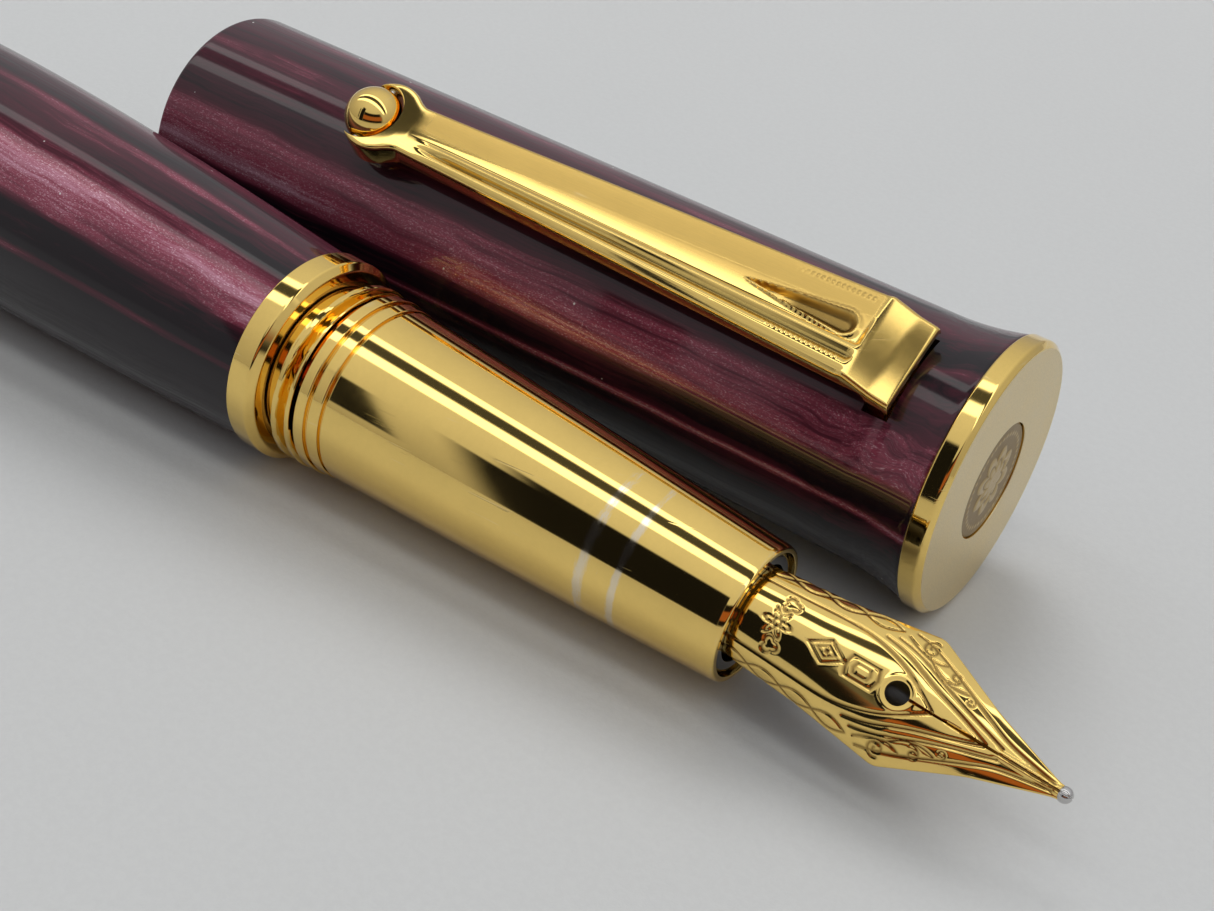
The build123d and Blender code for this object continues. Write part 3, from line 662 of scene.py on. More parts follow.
def handled(name, colour_value, roughness, spread, scratch, grain=None, strength=0.0):
    """A material with haze, hairlines and an optional grain, which is a scale for each axis.

    Returns its tree, its shader, the vector in millimetres, its tone, roughness and height, and
    the mask of its hairlines.
    """
    tree, shader = new_material(name)
    vector = object_mm(tree)
    haze = use_group(tree, "HandlingHaze", Vector=vector, Base=roughness, Spread=spread)
    scratches = use_group(tree, "FineScratches", Vector=vector, Amount=scratch)
    tone = blend_colour(tree, 1.0, tuple(colour_value), haze["Tone"], "MULTIPLY")
    height = scratches["Height"]
    if grain is not None:
        brushed = use_group(tree, "BrushedGrain", Vector=stretched(tree, vector, grain),
                            Strength=strength)
        tone = blend_colour(tree, 1.0, tone, brushed["Tone"], "MULTIPLY")
        height = plus(tree, height, brushed["Height"])
    return tree, shader, vector, tone, haze["Roughness"], height, scratches["Mask"]


def gold_material(name, colour_value, roughness, colours, scratch=0.6, grain=None, strength=0.0,
                  worn=False, engraved=None, satin=0.0):
    """Gold plate; optionally brushed, worn through, given painted shade in a deeper colour where it is engraved,
    or part satin.
    """
    tree, shader, vector, tone, rough, height, hairlines = handled(
        name, colour_value, roughness, roughness * 1.2, scratch, grain, strength)
    # Painted shade: the 'engraved' attribute darkens grooves and hollows towards the given colour
    if engraved:
        depth = add(tree, "Attribute", {"attribute_name": "engraved"}).outputs["Fac"]
        tone = blend_colour(tree, times(tree, depth, 0.85), tone, tuple(engraved))
        rough = maths(tree, "MULTIPLY_ADD", depth, 0.10, rough)
    if satin:
        dull = add(tree, "Attribute", {"attribute_name": "satin"}).outputs["Fac"]
        rough = maths(tree, "MULTIPLY_ADD", dull, satin, rough)
        tone = blend_colour(tree, times(tree, dull, 0.6), tone, tuple(colours.gold_aged))
    if worn:
        patch = add(tree, "Attribute", {"attribute_name": "worn"}).outputs["Fac"]
        ragged = noise(tree, stretched(tree, vector, (2.6, 0.5, 0.5)), 1.6, 5.0, 0.75)
        bare = rescale(tree, plus(tree, patch, times(tree, ragged, 1.3)), 1.10, 1.50)
        bare = times(tree, bare, 0.55)
        tone = blend_colour(tree, bare, tone, tuple(colours.silver))
        rough = maths(tree, "MULTIPLY_ADD", bare, 0.10, rough)
    tone = blend_colour(tree, times(tree, hairlines, 0.35), tone, (0.98, 0.9, 0.7, 1))
    tree.links.new(tone, shader.inputs["Base Color"])
    tree.links.new(rough, shader.inputs["Roughness"])
    shader.inputs["Metallic"].default_value = 1.0
    bump(tree, shader, height, 0.000010, 0.5)


def plain_material(name, colour_value, roughness, metallic=0.0, coat=0.0, grain=None,
                   depth=0.00001, transmission=0.0):
    """Moulded, turned or clear stuff; the depth of its relief is in metres."""
    tree, shader, _, tone, rough, height, _ = handled(
        name, colour_value, roughness, roughness * 0.8, 0.3, grain, 0.8)
    tree.links.new(tone, shader.inputs["Base Color"])
    tree.links.new(rough, shader.inputs["Roughness"])
    shader.inputs["Metallic"].default_value = metallic
    shader.inputs["Coat Weight"].default_value = coat
    shader.inputs["Coat Roughness"].default_value = 0.05
    shader.inputs["Transmission Weight"].default_value = transmission
    bump(tree, shader, height, depth, 0.5)


class PEN_OT_finishes(bpy.types.Operator):
    """Make the shared node groups and every finish"""

    bl_idname = "pen.finishes"
    bl_label = "Make finishes"

    def execute(self, context):
        colours = context.scene.pen_colours
        for make_group in (
            group_scratches, group_dust, group_handling, group_brushed, group_resin
        ):
            make_group()
        dip = math.asin(-float(PEN.along[2]))
        resin_material("barrel_resin", colours,
                       [(0.0, 0.16), (0.34, 0.22), (0.42, 0.38), (0.487, 0.30), (0.50, 0.45),
                        (0.513, 0.30), (0.548, 0.34), (0.566, 0.58), (0.60, 0.70), (0.642, 0.60),
                        (0.664, 0.24), (0.702, 0.16), (0.714, 0.42), (0.726, 0.14), (0.92, 0.14),
                        (1.0, 0.16)],
                       (-200.0, -190.0, 0.8), (0, -dip, 0))
        resin_material("cap_resin", colours,
                       [(0.0, 0.12), (0.30, 0.20), (0.40, 0.40), (0.47, 0.32), (0.54, 0.36),
                        (0.572, 0.60), (0.614, 0.58), (0.642, 0.24), (0.661, 0.26), (0.668, 0.62),
                        (0.676, 0.24), (0.73, 0.10), (0.92, 0.12), (1.0, 0.12)],
                       (SWIRL_START, SWIRL_START + 9.0, 6.0), (0, 0, 0))
        gold, satin = colours.gold, colours.satin_gold
        shine, soft = colours.gold_roughness, colours.satin_roughness
        gold_material("polished_gold", gold, shine, colours, 0.5)
        gold_material("worn_gold", gold, shine * 0.8, colours, 0.5, worn=True)
        gold_material("nib_gold", gold, shine, colours, 0.3, engraved=colours.gold_painted_groove_shade)
        # The clip's near-black colour is painted dark reflection in its teardrop hollow and painted shade in its
        # near groove
        gold_material("clip_gold", gold, shine, colours, 0.4, (0.5, 16, 16), 0.06,
                      engraved=(0.02, 0.012, 0.005, 1), satin=0.26)
        gold_material("satin_gold", satin, soft, colours, 0.3, (8, 8, 8), 0.9)
        # The medallion's deeper colour is painted shade in the rosette's low places
        gold_material("medallion_gold", (0.60, 0.45, 0.23, 1), 0.34, colours, 0.3, (6, 20, 20), 0.8,
                      engraved=(0.20, 0.13, 0.055, 1))
        plain_material("tipping_metal", (0.62, 0.61, 0.60, 1), 0.12, metallic=1.0)
        plain_material("turned_brass", (0.62, 0.40, 0.15, 1), 0.22, metallic=1.0, grain=(24, 1, 1))
        plain_material("turned_steel", (0.55, 0.55, 0.56, 1), 0.22, metallic=1.0, grain=(24, 1, 1))
        plain_material("black_plastic", (0.010, 0.010, 0.012, 1), 0.10, coat=0.6)
        plain_material("ebonite", (0.016, 0.014, 0.013, 1), 0.36, grain=(1.5, 6, 6))
        plain_material("seal_rubber", (0.02, 0.02, 0.02, 1), 0.62, grain=(5, 5, 5), depth=0.00003)
        plain_material("clear_plastic", (0.93, 0.95, 0.96, 1), 0.06, transmission=0.92)
        return {"FINISHED"}


# ================================================================ nib
NIB_STATIONS = (-21.8, -16.0, -10.2, -5.5, -0.9)
NIB_RADII = (3.25, 4.0, 6.0, 5.0, 1.6)
NIB_HALF_ANGLES = (66.0, 58.0, 44.5, 24.5, 17.0)
NIB_CRESTS = (3.25, 3.15, 2.8, 1.8, 0.55)
NIB_TAIL, NIB_FRONT = -31.0, -0.45
BREATHER, BREATHER_R = -10.7, 0.72


def nib_reach(station):
    """Half of the nib's developed width (radius times half angle) at a station."""
    halves = np.radians(NIB_HALF_ANGLES) * np.array(NIB_RADII)
    return np.interp(station, NIB_STATIONS, halves)


def nib_section(station, share):
    """Height, sideways place and normal of the nib's upper face.

    Each named station is an arc; between two stations the same share of the arc is joined in a
    straight line, and reading it at seven nearby stations and averaging eases the shoulder.
    """
    height, across = np.zeros(np.broadcast(station, share).shape), 0.0
    up = side = 0.0
    shifts = np.linspace(-0.32, 0.32, 7)
    for shift in shifts:
        at = np.clip(station + shift, NIB_STATIONS[0], NIB_STATIONS[-1])
        weight = np.clip(1 - np.abs(
            np.interp(at, NIB_STATIONS, range(5))[..., None] - np.arange(5)), 0, 1)
        bend = np.radians(NIB_HALF_ANGLES) * share[..., None]
        radius, crest = np.array(NIB_RADII), np.array(NIB_CRESTS)
        height = height + (weight * (crest - radius + radius * np.cos(bend))).sum(-1)
        across = across + (weight * radius * np.sin(bend)).sum(-1)
        up, side = up + (weight * np.cos(bend)).sum(-1), side + (weight * np.sin(bend)).sum(-1)
    count = len(shifts)
    size = np.hypot(up, side)
    return height / count, across / count, up / size, side / size


def bow(points, samples=40):
    """A smooth path through (station, across) points, sampled evenly along its points."""
    points = np.asarray(points, float)
    at, fine = np.arange(len(points)), np.linspace(0, len(points) - 1, samples)
    return np.stack([spline(at, points[:, 0], fine), spline(at, points[:, 1], fine)], 1)


def curl(station, across, size, start, turns, tail=0.0):
    """A spiral: radius shrinks evenly from size to a fifth of it while the angle runs on."""
    k = np.linspace(0, 1, 44)
    angle, radius = start + k * turns * TAU, size * (1 - 0.8 * k)
    along = station + radius * np.cos(angle) + tail * k
    return np.stack([along, across + radius * np.sin(angle)], 1)


def nib_lines():
    """The engraved lines of one half; the other half mirrors them. Items are (path, width)."""
    wave = np.linspace(-21.6, -12.4, 90)
    sway = 0.42 * np.sin((wave + 21.6) * TAU / 4.6)
    lines = [
        (bow([(-21.8, 2.1), (-18, 2.25), (-14.6, 2.36), (-12.4, 2.0), (-10.6, 1.3),
              (-8.6, 0.05)]), 0.08),
        (bow([(-12.9, 2.7), (-11.2, 2.25), (-9.2, 1.42), (-7.2, 0.75), (-5.3, 0.05)]), 0.09),
        (bow([(-12.3, 3.05), (-10.6, 2.6), (-8.6, 1.78), (-6.6, 1.05), (-4.4, 0.34)]), 0.07),
        (bow([(-11.6, 4.0), (-9.6, 3.3), (-7.4, 2.25), (-5.2, 1.2), (-3.6, 0.66),
              (-1.2, 0.22)]), 0.08),
        (np.stack([wave, 3.22 + sway + 0.05 * (wave + 21.6)], 1), 0.07),
        (np.stack([wave, 3.22 - sway + 0.05 * (wave + 21.6)], 1), 0.07),
        (curl(-10.4, 3.45, 0.58, 1.2, 1.4), 0.08),
        (curl(-8.6, 2.55, 0.46, -1.9, 1.2, 0.25), 0.07),
        (curl(-7.1, 1.72, 0.30, 1.1, -1.0), 0.06),
        (bow([(-11.9, 3.5), (-11.0, 3.0), (-9.9, 2.75), (-9.2, 3.0)]), 0.07),
        (bow([(-10.3, 2.95), (-9.3, 2.2), (-8.2, 1.95), (-7.4, 2.1)]), 0.07),
    ]
    return lines


LOZENGE_AT, FRAME_AT, FLOWER_AT, LEAF_AT, LEAF_ASIDE = -15.3, -13.0, -18.6, -18.4, 1.35


def ornament(station, across):
    """Signed height of the marks on the centre line: ring, lozenge, framed square and flower.

    Each outline is a bell about the place where a scaled distance is 1; an inner line repeats it
    at half the size. The leaves stand at both sides of the flower.
    """
    aside = np.abs(across)
    height = 0.8 * hump(np.hypot(station - BREATHER, across), 0.98, 0.13)
    from_lozenge = station - LOZENGE_AT
    lozenge = np.abs(from_lozenge) / 1.15 + aside / 0.72
    height = height - hump(lozenge, 1.0, 0.14) - 0.8 * hump(lozenge, 0.5, 0.14)
    height = height - 0.9 * (np.hypot(from_lozenge, across) < 0.16)
    edge = np.maximum(aside / 0.62, (np.abs(station - FRAME_AT) + 0.35 * aside) / 1.05)
    height = height - hump(edge, 1.0, 0.13) - 0.8 * hump(edge, 0.52, 0.13)
    from_flower = station - FLOWER_AT
    flower = np.hypot(from_flower, across)
    petal = flower / (0.62 + 0.26 * np.cos(6 * np.arctan2(across, from_flower)))
    height = height - hump(petal, 1.0, 0.16) - 0.9 * hump(flower, 0.22, 0.08)
    leaf_s, leaf_y = station - LEAF_AT, aside - LEAF_ASIDE
    lobes = 0.30 + 0.22 * np.abs(np.cos(1.5 * np.arctan2(leaf_y, leaf_s)))
    return height - hump(np.hypot(leaf_s, leaf_y) / lobes, 1.0, 0.22)


class PEN_OT_nib(bpy.types.Operator):
    """Make the engraved nib and its tipping"""

    bl_idname = "pen.nib"
    bl_label = "Nib"

    def execute(self, context):
        sizes = context.scene.pen_sizes
        half = BREATHER_R / float(nib_reach(BREATHER))
        inside = np.linspace(-half, half, 15)
        flank = np.linspace(half, 1.0, 62)
        share = np.concatenate([-flank[::-1], inside[1:-1], flank])
        back, front = BREATHER - BREATHER_R, BREATHER + BREATHER_R
        rows = np.concatenate([
            np.linspace(NIB_TAIL, -21.9, 8), np.linspace(-21.8, back, 150),
            np.linspace(back, front, 16)[1:-1], np.linspace(front, NIB_FRONT, 146),
        ])
        row_back, row_front = np.searchsorted(rows, [back - 1e-6, front - 1e-6])
        column_low, column_high = np.searchsorted(share, [-half - 1e-6, half - 1e-6])
        station, share = np.meshgrid(rows, share, indexing="ij")
        # squares of cells round the breather are drawn in to circles, fading out by 2.4 radii
        p, q = (station - BREATHER) / BREATHER_R, share / half
        square, disc = np.maximum(np.abs(p), np.abs(q)), np.maximum(np.hypot(p, q), 1e-9)
        pull = 1 + (square / disc - 1) * (1 - smooth(1.0, 2.4, square))
        station, share = BREATHER + p * pull * BREATHER_R, q * pull * half
        reach = nib_reach(station)
        across_flat = share * reach
        height, across, up, side = nib_section(station, share)

        cut = np.zeros(station.shape)
        for path, width in nib_lines():
            gap = distance_to(path, station, np.abs(across_flat))
            cut = np.minimum(cut, -hump(gap, 0.0, width * 1.25))
        cut = cut + ornament(station, across_flat)
        slit_zone = (station > BREATHER) * smooth(0.085, 0.03, np.abs(across_flat))
        ridge = smooth(-4.9, -4.3, station) * smooth(0.34, 0.16, np.abs(across_flat))
        visible = smooth(-21.8, -21.4, station)
        depth = sizes.engraving_depth / MM
        lift = (cut * visible + 1.4 * ridge) * depth - 0.22 * slit_zone
        # a rolled edge of quarter-circle section along both sides
        edge = np.clip(1 - (1 - np.abs(share)) * reach / 0.14, 0, 1)
        lift = lift - 0.12 * (1 - np.sqrt(1 - edge**2 + 1e-12))
        outer = NIB.flat(station, height + lift * up, across + lift * side)
        thin = sizes.nib_thickness / MM * (0.55 + 0.45 * smooth(0.0, -4.0, station))
        inner = NIB.flat(station, height - thin * up, across - thin * side)
        keep = np.ones((len(rows) - 1, share.shape[1] - 1), bool)
        keep[row_back:row_front, column_low:column_high] = False
        # Painted shade: the engraved lines and the slit are darkened through the 'engraved' attribute
        engraved = np.clip(-cut * visible, 0, 1) + slit_zone
        nib = solid_between("nib_blade", outer, inner, ["nib_gold"], keep=keep,
                            attributes={"engraved": np.clip(engraved, 0, 1)}, sharp=50.0)
        place(nib, "nib_unit", "nib_gold", "nib")

        # tipping: a pellet flattened where it writes, with a fine cut round it for the slit
        tip_line = Line(NIB.flat(np.array(-0.5), np.array(0.3), np.array(0.0)), NIB.side, NIB.up)
        k = np.linspace(0, math.pi, 48)
        pellet = 0.5 * np.stack([-np.cos(k), np.sin(k)], 1)
        pellet[:, 1] -= 0.07 * hump(pellet[:, 0], 0.0, 0.035)
        pellet[[0, -1], 1] = 0.0

        def flatten(station, radius, angle):
            """The lower part is drawn in by a tenth of a radius."""
            return np.zeros_like(station), -0.08 * radius * smooth(0.3, 1.0, -np.cos(angle))

        tipping = turned("nib_tip", tip_line, pellet, 96, ["tipping_metal"], relief=flatten)
        place(tipping, "nib_unit", "tipping_metal", "nib_tipping")
        return {"FINISHED"}


# ================================================================ section
GRIP_FRONT, GRIP_BACK, BANDS_BACK, SLEEVE_BACK = -20.8, -50.2, -52.3, -55.27
RIDGE_FRONT, RIDGE_LEAD = -53.05, 1.15       # the one lead of thread behind the bands
NIPPLE_R, NIPPLE_BACK = 4.6, -64.1


def screw(front, back, pitch, rise):
    """A thread's relief: a flattened wave of (station/pitch + angle/turn), faded at both ends."""

    def relief(station, radius, angle):
        phase = (station / pitch + angle / TAU) * TAU
        tooth = np.clip(0.5 + 0.9 * np.cos(phase), 0, 1)
        run = 0.4 * pitch
        fade = smooth(front, front - run, station) * smooth(back, back + run, station)
        return np.zeros_like(station), rise * tooth * fade

    return relief


def stretch(front, back, radius, count):
    """Evenly spaced unrounded outline corners along a straight run."""
    return [(s, radius, 0.0) for s in np.linspace(front, back, count)]


class PEN_OT_section(bpy.types.Operator):
    """Make the gold grip and the black section inside it"""

    bl_idname = "pen.section"
    bl_label = "Grip and section"

    def execute(self, context):
        sizes = context.scene.pen_sizes
        front, back = sizes.grip_front_radius / MM, sizes.grip_back_radius / MM
        swell = np.linspace(-21.6, -50.0, 110)
        bore = 4.2
        waist = spline([GRIP_BACK, -36.2, -21.0], [back, 5.5, front], swell)
        outline = [
            (GRIP_FRONT, bore, 0.03), (GRIP_FRONT, front - 0.1, 0.12), (-21.15, front, 0.14),
            *[(s, r, 0.0) for s, r in zip(swell, waist)],
            (GRIP_BACK, back, 0.07), (GRIP_BACK, back - 0.25, 0.05),
            (-50.42, back - 0.25, 0.05), (-50.42, back + 0.06, 0.08), (-51.28, back + 0.13, 0.10),
            (-51.28, back - 0.1, 0.05), (-51.5, back - 0.1, 0.05), (-51.5, back + 0.25, 0.08),
            (BANDS_BACK, back + 0.25, 0.08), (BANDS_BACK, back - 0.18, 0.06),
            *stretch(-52.42, -55.1, 5.72, 60),
            (SLEEVE_BACK, 5.65, 0.0), (SLEEVE_BACK, bore, 0.03),
        ]

        def ridge(station, radius, angle):
            """One lead of thread behind the bands, ending in a runout above."""
            path = RIDGE_FRONT - RIDGE_LEAD * ((angle + math.pi) / TAU)
            gap = np.minimum(np.abs(station - path), np.abs(station - path - RIDGE_LEAD))
            height = 0.80 * smooth(0.42, 0.16, gap) * smooth(-52.42, -52.62, station)
            height = height * smooth(-55.1, -54.7, station)
            return np.zeros_like(station), np.where(radius < 5.0, 0.0, height) * (station < -52.35)

        def worn(station, radius, angle):
            """Plating rubbed thin: a band near the front, the front rim and the band edges."""
            side = 0.50 + 0.42 * np.cos(angle - 1.35)
            band = (hump(station, -28.0, 0.28)
                    + 0.8 * hump(station, -30.4, 0.45)
                    + 0.35 * hump(station, -29.2, 1.6)) * side
            rim = hump(station, -20.95, 0.16) * 0.50
            edges = 0.42 * hump(station, -51.9, 0.5) * smooth(0.6, 1.0, np.cos(angle - 1.9))
            return {"worn": np.maximum(np.maximum(band, rim), edges) * (radius > 4.4)}

        grip = turned("grip", PEN, rounded(outline), sizes.segments, ["worn_gold"], ridge,
                      marks=worn)
        place(grip, "section", "worn_gold", "grip_sleeve")

        core = [
            (-21.05, 3.3, 0.05), (-21.05, 3.9, 0.12), (-21.35, 4.16, 0.08), (-55.3, 4.16, 0.02),
            (-55.3, NIPPLE_R, 0.05), *stretch(-55.7, -63.9, NIPPLE_R, 130),
            (NIPPLE_BACK, 4.55, 0.04), (NIPPLE_BACK, 3.95, 0.1), (-39.0, 3.95, 0.1),
            (-39.0, 1.4, 0.05), (-45.0, 1.1, 0.05), (-45.0, 0.5, 0.05), (-36.5, 0.5, 0.0),
            (-36.5, 2.92, 0.0), (-31.5, 2.92, 0.0),
            (-31.5, 3.3, 0.0),
        ]
        nipple = screw(-56.0, -63.7, 0.8, 0.3)

        def thread_only(station, radius, angle):
            """The thread stands on the nipple's outside and nowhere else."""
            shift_s, shift_r = nipple(station, radius, angle)
            return shift_s, np.where(np.abs(radius - NIPPLE_R) < 0.01, shift_r, 0.0)

        collar = turned("section", PEN, rounded(core), sizes.segments, ["black_plastic"],
                        thread_only)
        place(collar, "section", "black_plastic", "section_core")
        return {"FINISHED"}


# ================================================================ barrel
SHELL_FRONT, SHELL_BACK, PEG_R = -57.4, -130.3, 2.03      # the tail's peg sits in a blind hole
RING_FRONT, RING_BACK, RING_BORE = -55.3, -57.37, 6.05
TAIL_FACE = -131.97


class PEN_OT_barrel(bpy.types.Operator):
    """Make the resin barrel, its gold ring and its tail disc"""

    bl_idname = "pen.barrel"
    bl_label = "Barrel"

    def execute(self, context):
        sizes = context.scene.pen_sizes
        belly, ring, tail = sizes.belly_radius / MM, sizes.ring_radius / MM, sizes.tail_radius / MM
        at = np.linspace(-57.75, -129.9, 110)
        flank = spline([SHELL_FRONT, -78.0, -94.0, -120.0, SHELL_BACK],
                       [7.05, 8.25, belly, 7.8, tail - 0.1], at)
        outline = [
            (SHELL_FRONT, RING_BORE, 0.05), (SHELL_FRONT, 7.05, 0.10),
            *[(s, r, 0.0) for s, r in zip(at, flank)],
            (SHELL_BACK, tail - 0.1, 0.12), (SHELL_BACK, PEG_R, 0.0), (-126.3, PEG_R, 0.0),
            (-126.3, 0.0, 0.0), (-123.4, 0.0, 0.0), (-123.4, 4.3, 0.0), (-122.4, 5.3, 0.0),
            (-67.4, 5.3, 0.05),
            (-67.4, 6.03, 0.0),
        ]
        shell = turned("barrel_shell", PEN, rounded(outline), sizes.segments, ["barrel_resin"])
        place(shell, "barrel", "marbled_resin", "barrel")

        hoop = [
            (RING_FRONT, RING_BORE, 0.06), (RING_FRONT, ring - 0.52, 0.09),
            (-55.72, ring - 0.02, 0.10),
            (-56.5, ring, 0.0), (-57.28, ring, 0.06), (RING_BACK, ring - 0.12, 0.03),
            (RING_BACK, RING_BORE, 0.0),
        ]
        band = turned("mouth_ring", PEN, rounded(hoop), sizes.segments, ["polished_gold"])
        place(band, "barrel_thread", "polished_gold", "barrel_ring")

        disc = [
            (-126.7, 0.0, 0.0), (-126.7, 1.95, 0.1), (-130.33, 1.95, 0.0),
            (-130.33, tail - 0.06, 0.05),
            (-130.5, tail, 0.06), (-131.66, tail, 0.12), (-132.0, tail - 0.34, 0.10),
            (TAIL_FACE, tail - 1.0, 0.0), (TAIL_FACE, 6.1, 0.03), (-131.86, 6.0, 0.03),
            (-131.86, 5.8, 0.03), (TAIL_FACE, 5.7, 0.03), (TAIL_FACE, 1.0, 0.0),
            (TAIL_FACE, 0.0, 0.0),
        ]

        def two_tone(station, radius):
            """The flat face is satin (0) and the edge polished (1)."""
            return ((station > -131.9) | (radius > tail - 0.5)).astype(int)

        end = turned("tail", PEN, rounded(disc), sizes.segments, ["satin_gold", "polished_gold"],
                     face_paint=two_tone)
        place(end, "barrel", "satin_gold", "tail_disc")
        return {"FINISHED"}


# ================================================================ cap
SLOT_FRONT, SLOT_BACK, SLOT_HALF = -5.4, -7.2, math.radians(21.8)
CAP_MOUTH, CAP_BORE, FLARE_START, FLARE_LENGTH = -67.0, 7.4, -6.5, 4.9
CROWN_BACK, CROWN_PLUG, PLUG_R = -1.57, -3.6, 7.35


class PEN_OT_cap(bpy.types.Operator):
    """Make the cap's shell, its crown and its medallion"""

    bl_idname = "pen.cap"
    bl_label = "Cap"

    def execute(self, context):
        sizes = context.scene.pen_sizes
        body, crown = sizes.cap_radius / MM, sizes.crown_radius / MM
        rows = np.concatenate([
            CAP_MOUTH + 0.5 * (1 - np.cos(np.linspace(0, math.pi / 2, 9))),
            np.linspace(-66.4, SLOT_BACK - 0.05, 90), [SLOT_BACK],
            np.linspace(SLOT_BACK, SLOT_FRONT, 12)[1:], np.linspace(-5.3, -1.72, 26),
            [-1.66, -1.6],
        ])
        free = np.linspace(SLOT_HALF, TAU - SLOT_HALF, 200)
        angle = np.concatenate([np.linspace(-SLOT_HALF, SLOT_HALF, 28)[:-1], free[:-1]])
        # the seam of the grid lies opposite the clip
        angle = np.sort((angle + math.pi) % TAU - math.pi)
        opening = ((rows - FLARE_START) / FLARE_LENGTH).clip(0, 1) ** 1.9
        flare = np.where(rows > FLARE_START, (crown - 0.12 - body) * opening, 0.0)
        lip = np.clip(1 - (rows - CAP_MOUTH) / 0.4, 0, 1)
        outside = body + flare - 0.4 * (1 - np.sqrt(1 - lip**2 + 1e-12))
        brim = np.clip((rows + 1.75) / 0.15, 0, 1)
        outside = outside - 0.06 * brim**2
        bevel = np.clip(1 - (rows - CAP_MOUTH) / 0.2, 0, 1)
        inside = CAP_BORE + 0.2 * (1 - np.sqrt(1 - bevel**2 + 1e-12))
        grid_t, grid_a = np.meshgrid(rows, angle, indexing="ij")
        outer = CAP.polar(grid_t, np.repeat(outside[:, None], len(angle), 1), grid_a)
        inner = CAP.polar(grid_t, np.repeat(inside[:, None], len(angle), 1), grid_a)
        mid_t, mid_a = (rows[:-1] + rows[1:]) / 2, (angle + np.roll(angle, -1)) / 2
        mid_a[-1] = math.pi
        in_slot = (mid_t > SLOT_BACK) & (mid_t < SLOT_FRONT)
        keep = ~(in_slot[:, None] & (np.abs(mid_a) < SLOT_HALF))
        shell = solid_between("cap_shell", outer, inner, ["cap_resin"], wrap=True, keep=keep)
        place(shell, "cap", "marbled_resin", "cap_tube")

        medallion = sizes.medallion_radius / MM
        disc = [
            (-0.02, medallion + 0.06, 0.04), (0.0, medallion + 0.4, 0.0), (0.0, 7.0, 0.0),
            (0.0, crown - 0.40, 0.10), (-0.36, crown, 0.14), (-1.45, crown, 0.05),
            (CROWN_BACK, crown - 0.12, 0.03), (CROWN_BACK, PLUG_R, 0.03),
            (CROWN_PLUG, PLUG_R, 0.1), (CROWN_PLUG, 1.6, 0.05),
            (-2.4, 1.6, 0.0), (-2.4, 2.6, 0.0), (-0.55, 2.6, 0.0), (-0.55, medallion + 0.05, 0.03),
        ]

        def two_tone(station, radius):
            """The face is satin (0); rim and sides are polished (1)."""
            return ((station < -0.06) | (radius > crown - 0.42)).astype(int)

        face = turned("crown", CAP, rounded(disc), sizes.segments, ["satin_gold", "polished_gold"],
                      face_paint=two_tone)
        place(face, "cap", "satin_gold", "crown_disc")

        ring = medallion - np.array([0.0, 0.04, 0.10])
        coin_face = -0.12
        coin = [(-0.53, 0.0), (-0.53, medallion - 0.03), (-0.2, medallion), (-0.15, ring[1]),
                (-0.13, ring[2])]
        coin += [(coin_face, r) for r in np.linspace(medallion - 0.16, 0.05, 64)]
        coin = np.array(coin + [(coin_face, 0.0)])

        def rosette(station, radius, angle):
            """Eight petals round a boss, inside a beaded ring: heights of a few hundredths."""
            on_top = (station > coin_face - 0.005) & (radius > 0.01)
            petal = radius / (1.55 + 0.95 * np.abs(np.cos(4 * angle)) ** 0.8)
            height = 0.09 * smooth(1.06, 0.90, petal) - 0.08 * hump(petal, 0.62, 0.10)
            height = height + 0.10 * smooth(0.85, 0.55, radius)
            beads = 0.6 + 0.4 * np.cos(40 * angle)
            height = height + 0.05 * hump(radius, 3.35, 0.16) * beads
            return np.where(on_top, np.minimum(height, 0.11), 0.0), np.zeros_like(radius)

        def rosette_painted_shade(station, radius, angle):
            """Painted shade: dark colour lies in the low places."""
            height, _ = rosette(np.full_like(station, coin_face), radius, angle)
            return {"engraved": 0.8 * (1 - smooth(0.0, 0.05, height))}

        emblem = turned("medallion", CAP, coin, sizes.segments, ["medallion_gold"], rosette,
                        marks=rosette_painted_shade)
        place(emblem, "cap", "polished_gold", "crown_medallion")
        return {"FINISHED"}


# ================================================================ clip
BALL_STATION, BALL_HEIGHT = -48.1, 10.96
BALL_GAP = 0.24             # clear space between the ball and its socket
FORK_CENTRE, FORK_R = -47.1, 2.9
BAR_END = -44.4
FACET_EDGE, BEADED_BACK = -8.3, -15.5    # the worked face ends at the facet; beads start here
FAR_STRING, NEAR_STRING, NEAR_GROOVE = 0.115, 0.835, 0.785    # shares across the clip


def eased(knots, values, at, spread):
    """Straight runs between knots, with corners eased by averaging nine reads within the spread."""
    return sum(np.interp(at + d, knots, values) for d in np.linspace(-spread, spread, 9)) / 9


def teardrop(station, share):
    """1 on the rim of the clip's teardrop hollow, under 1 inside it and over 1 outside.

    The distance from its spine is divided by a half-width that swells towards the root.
    """
    spine = np.clip((station + 17.6) / 7.4, 0, 1)
    swell = 0.006 + 0.115 * spine**0.85
    drop = np.hypot((share - 0.47) / swell, np.maximum(station + 10.2, 0) / 0.85)
    return np.where(station > -17.6, drop, 9.0)


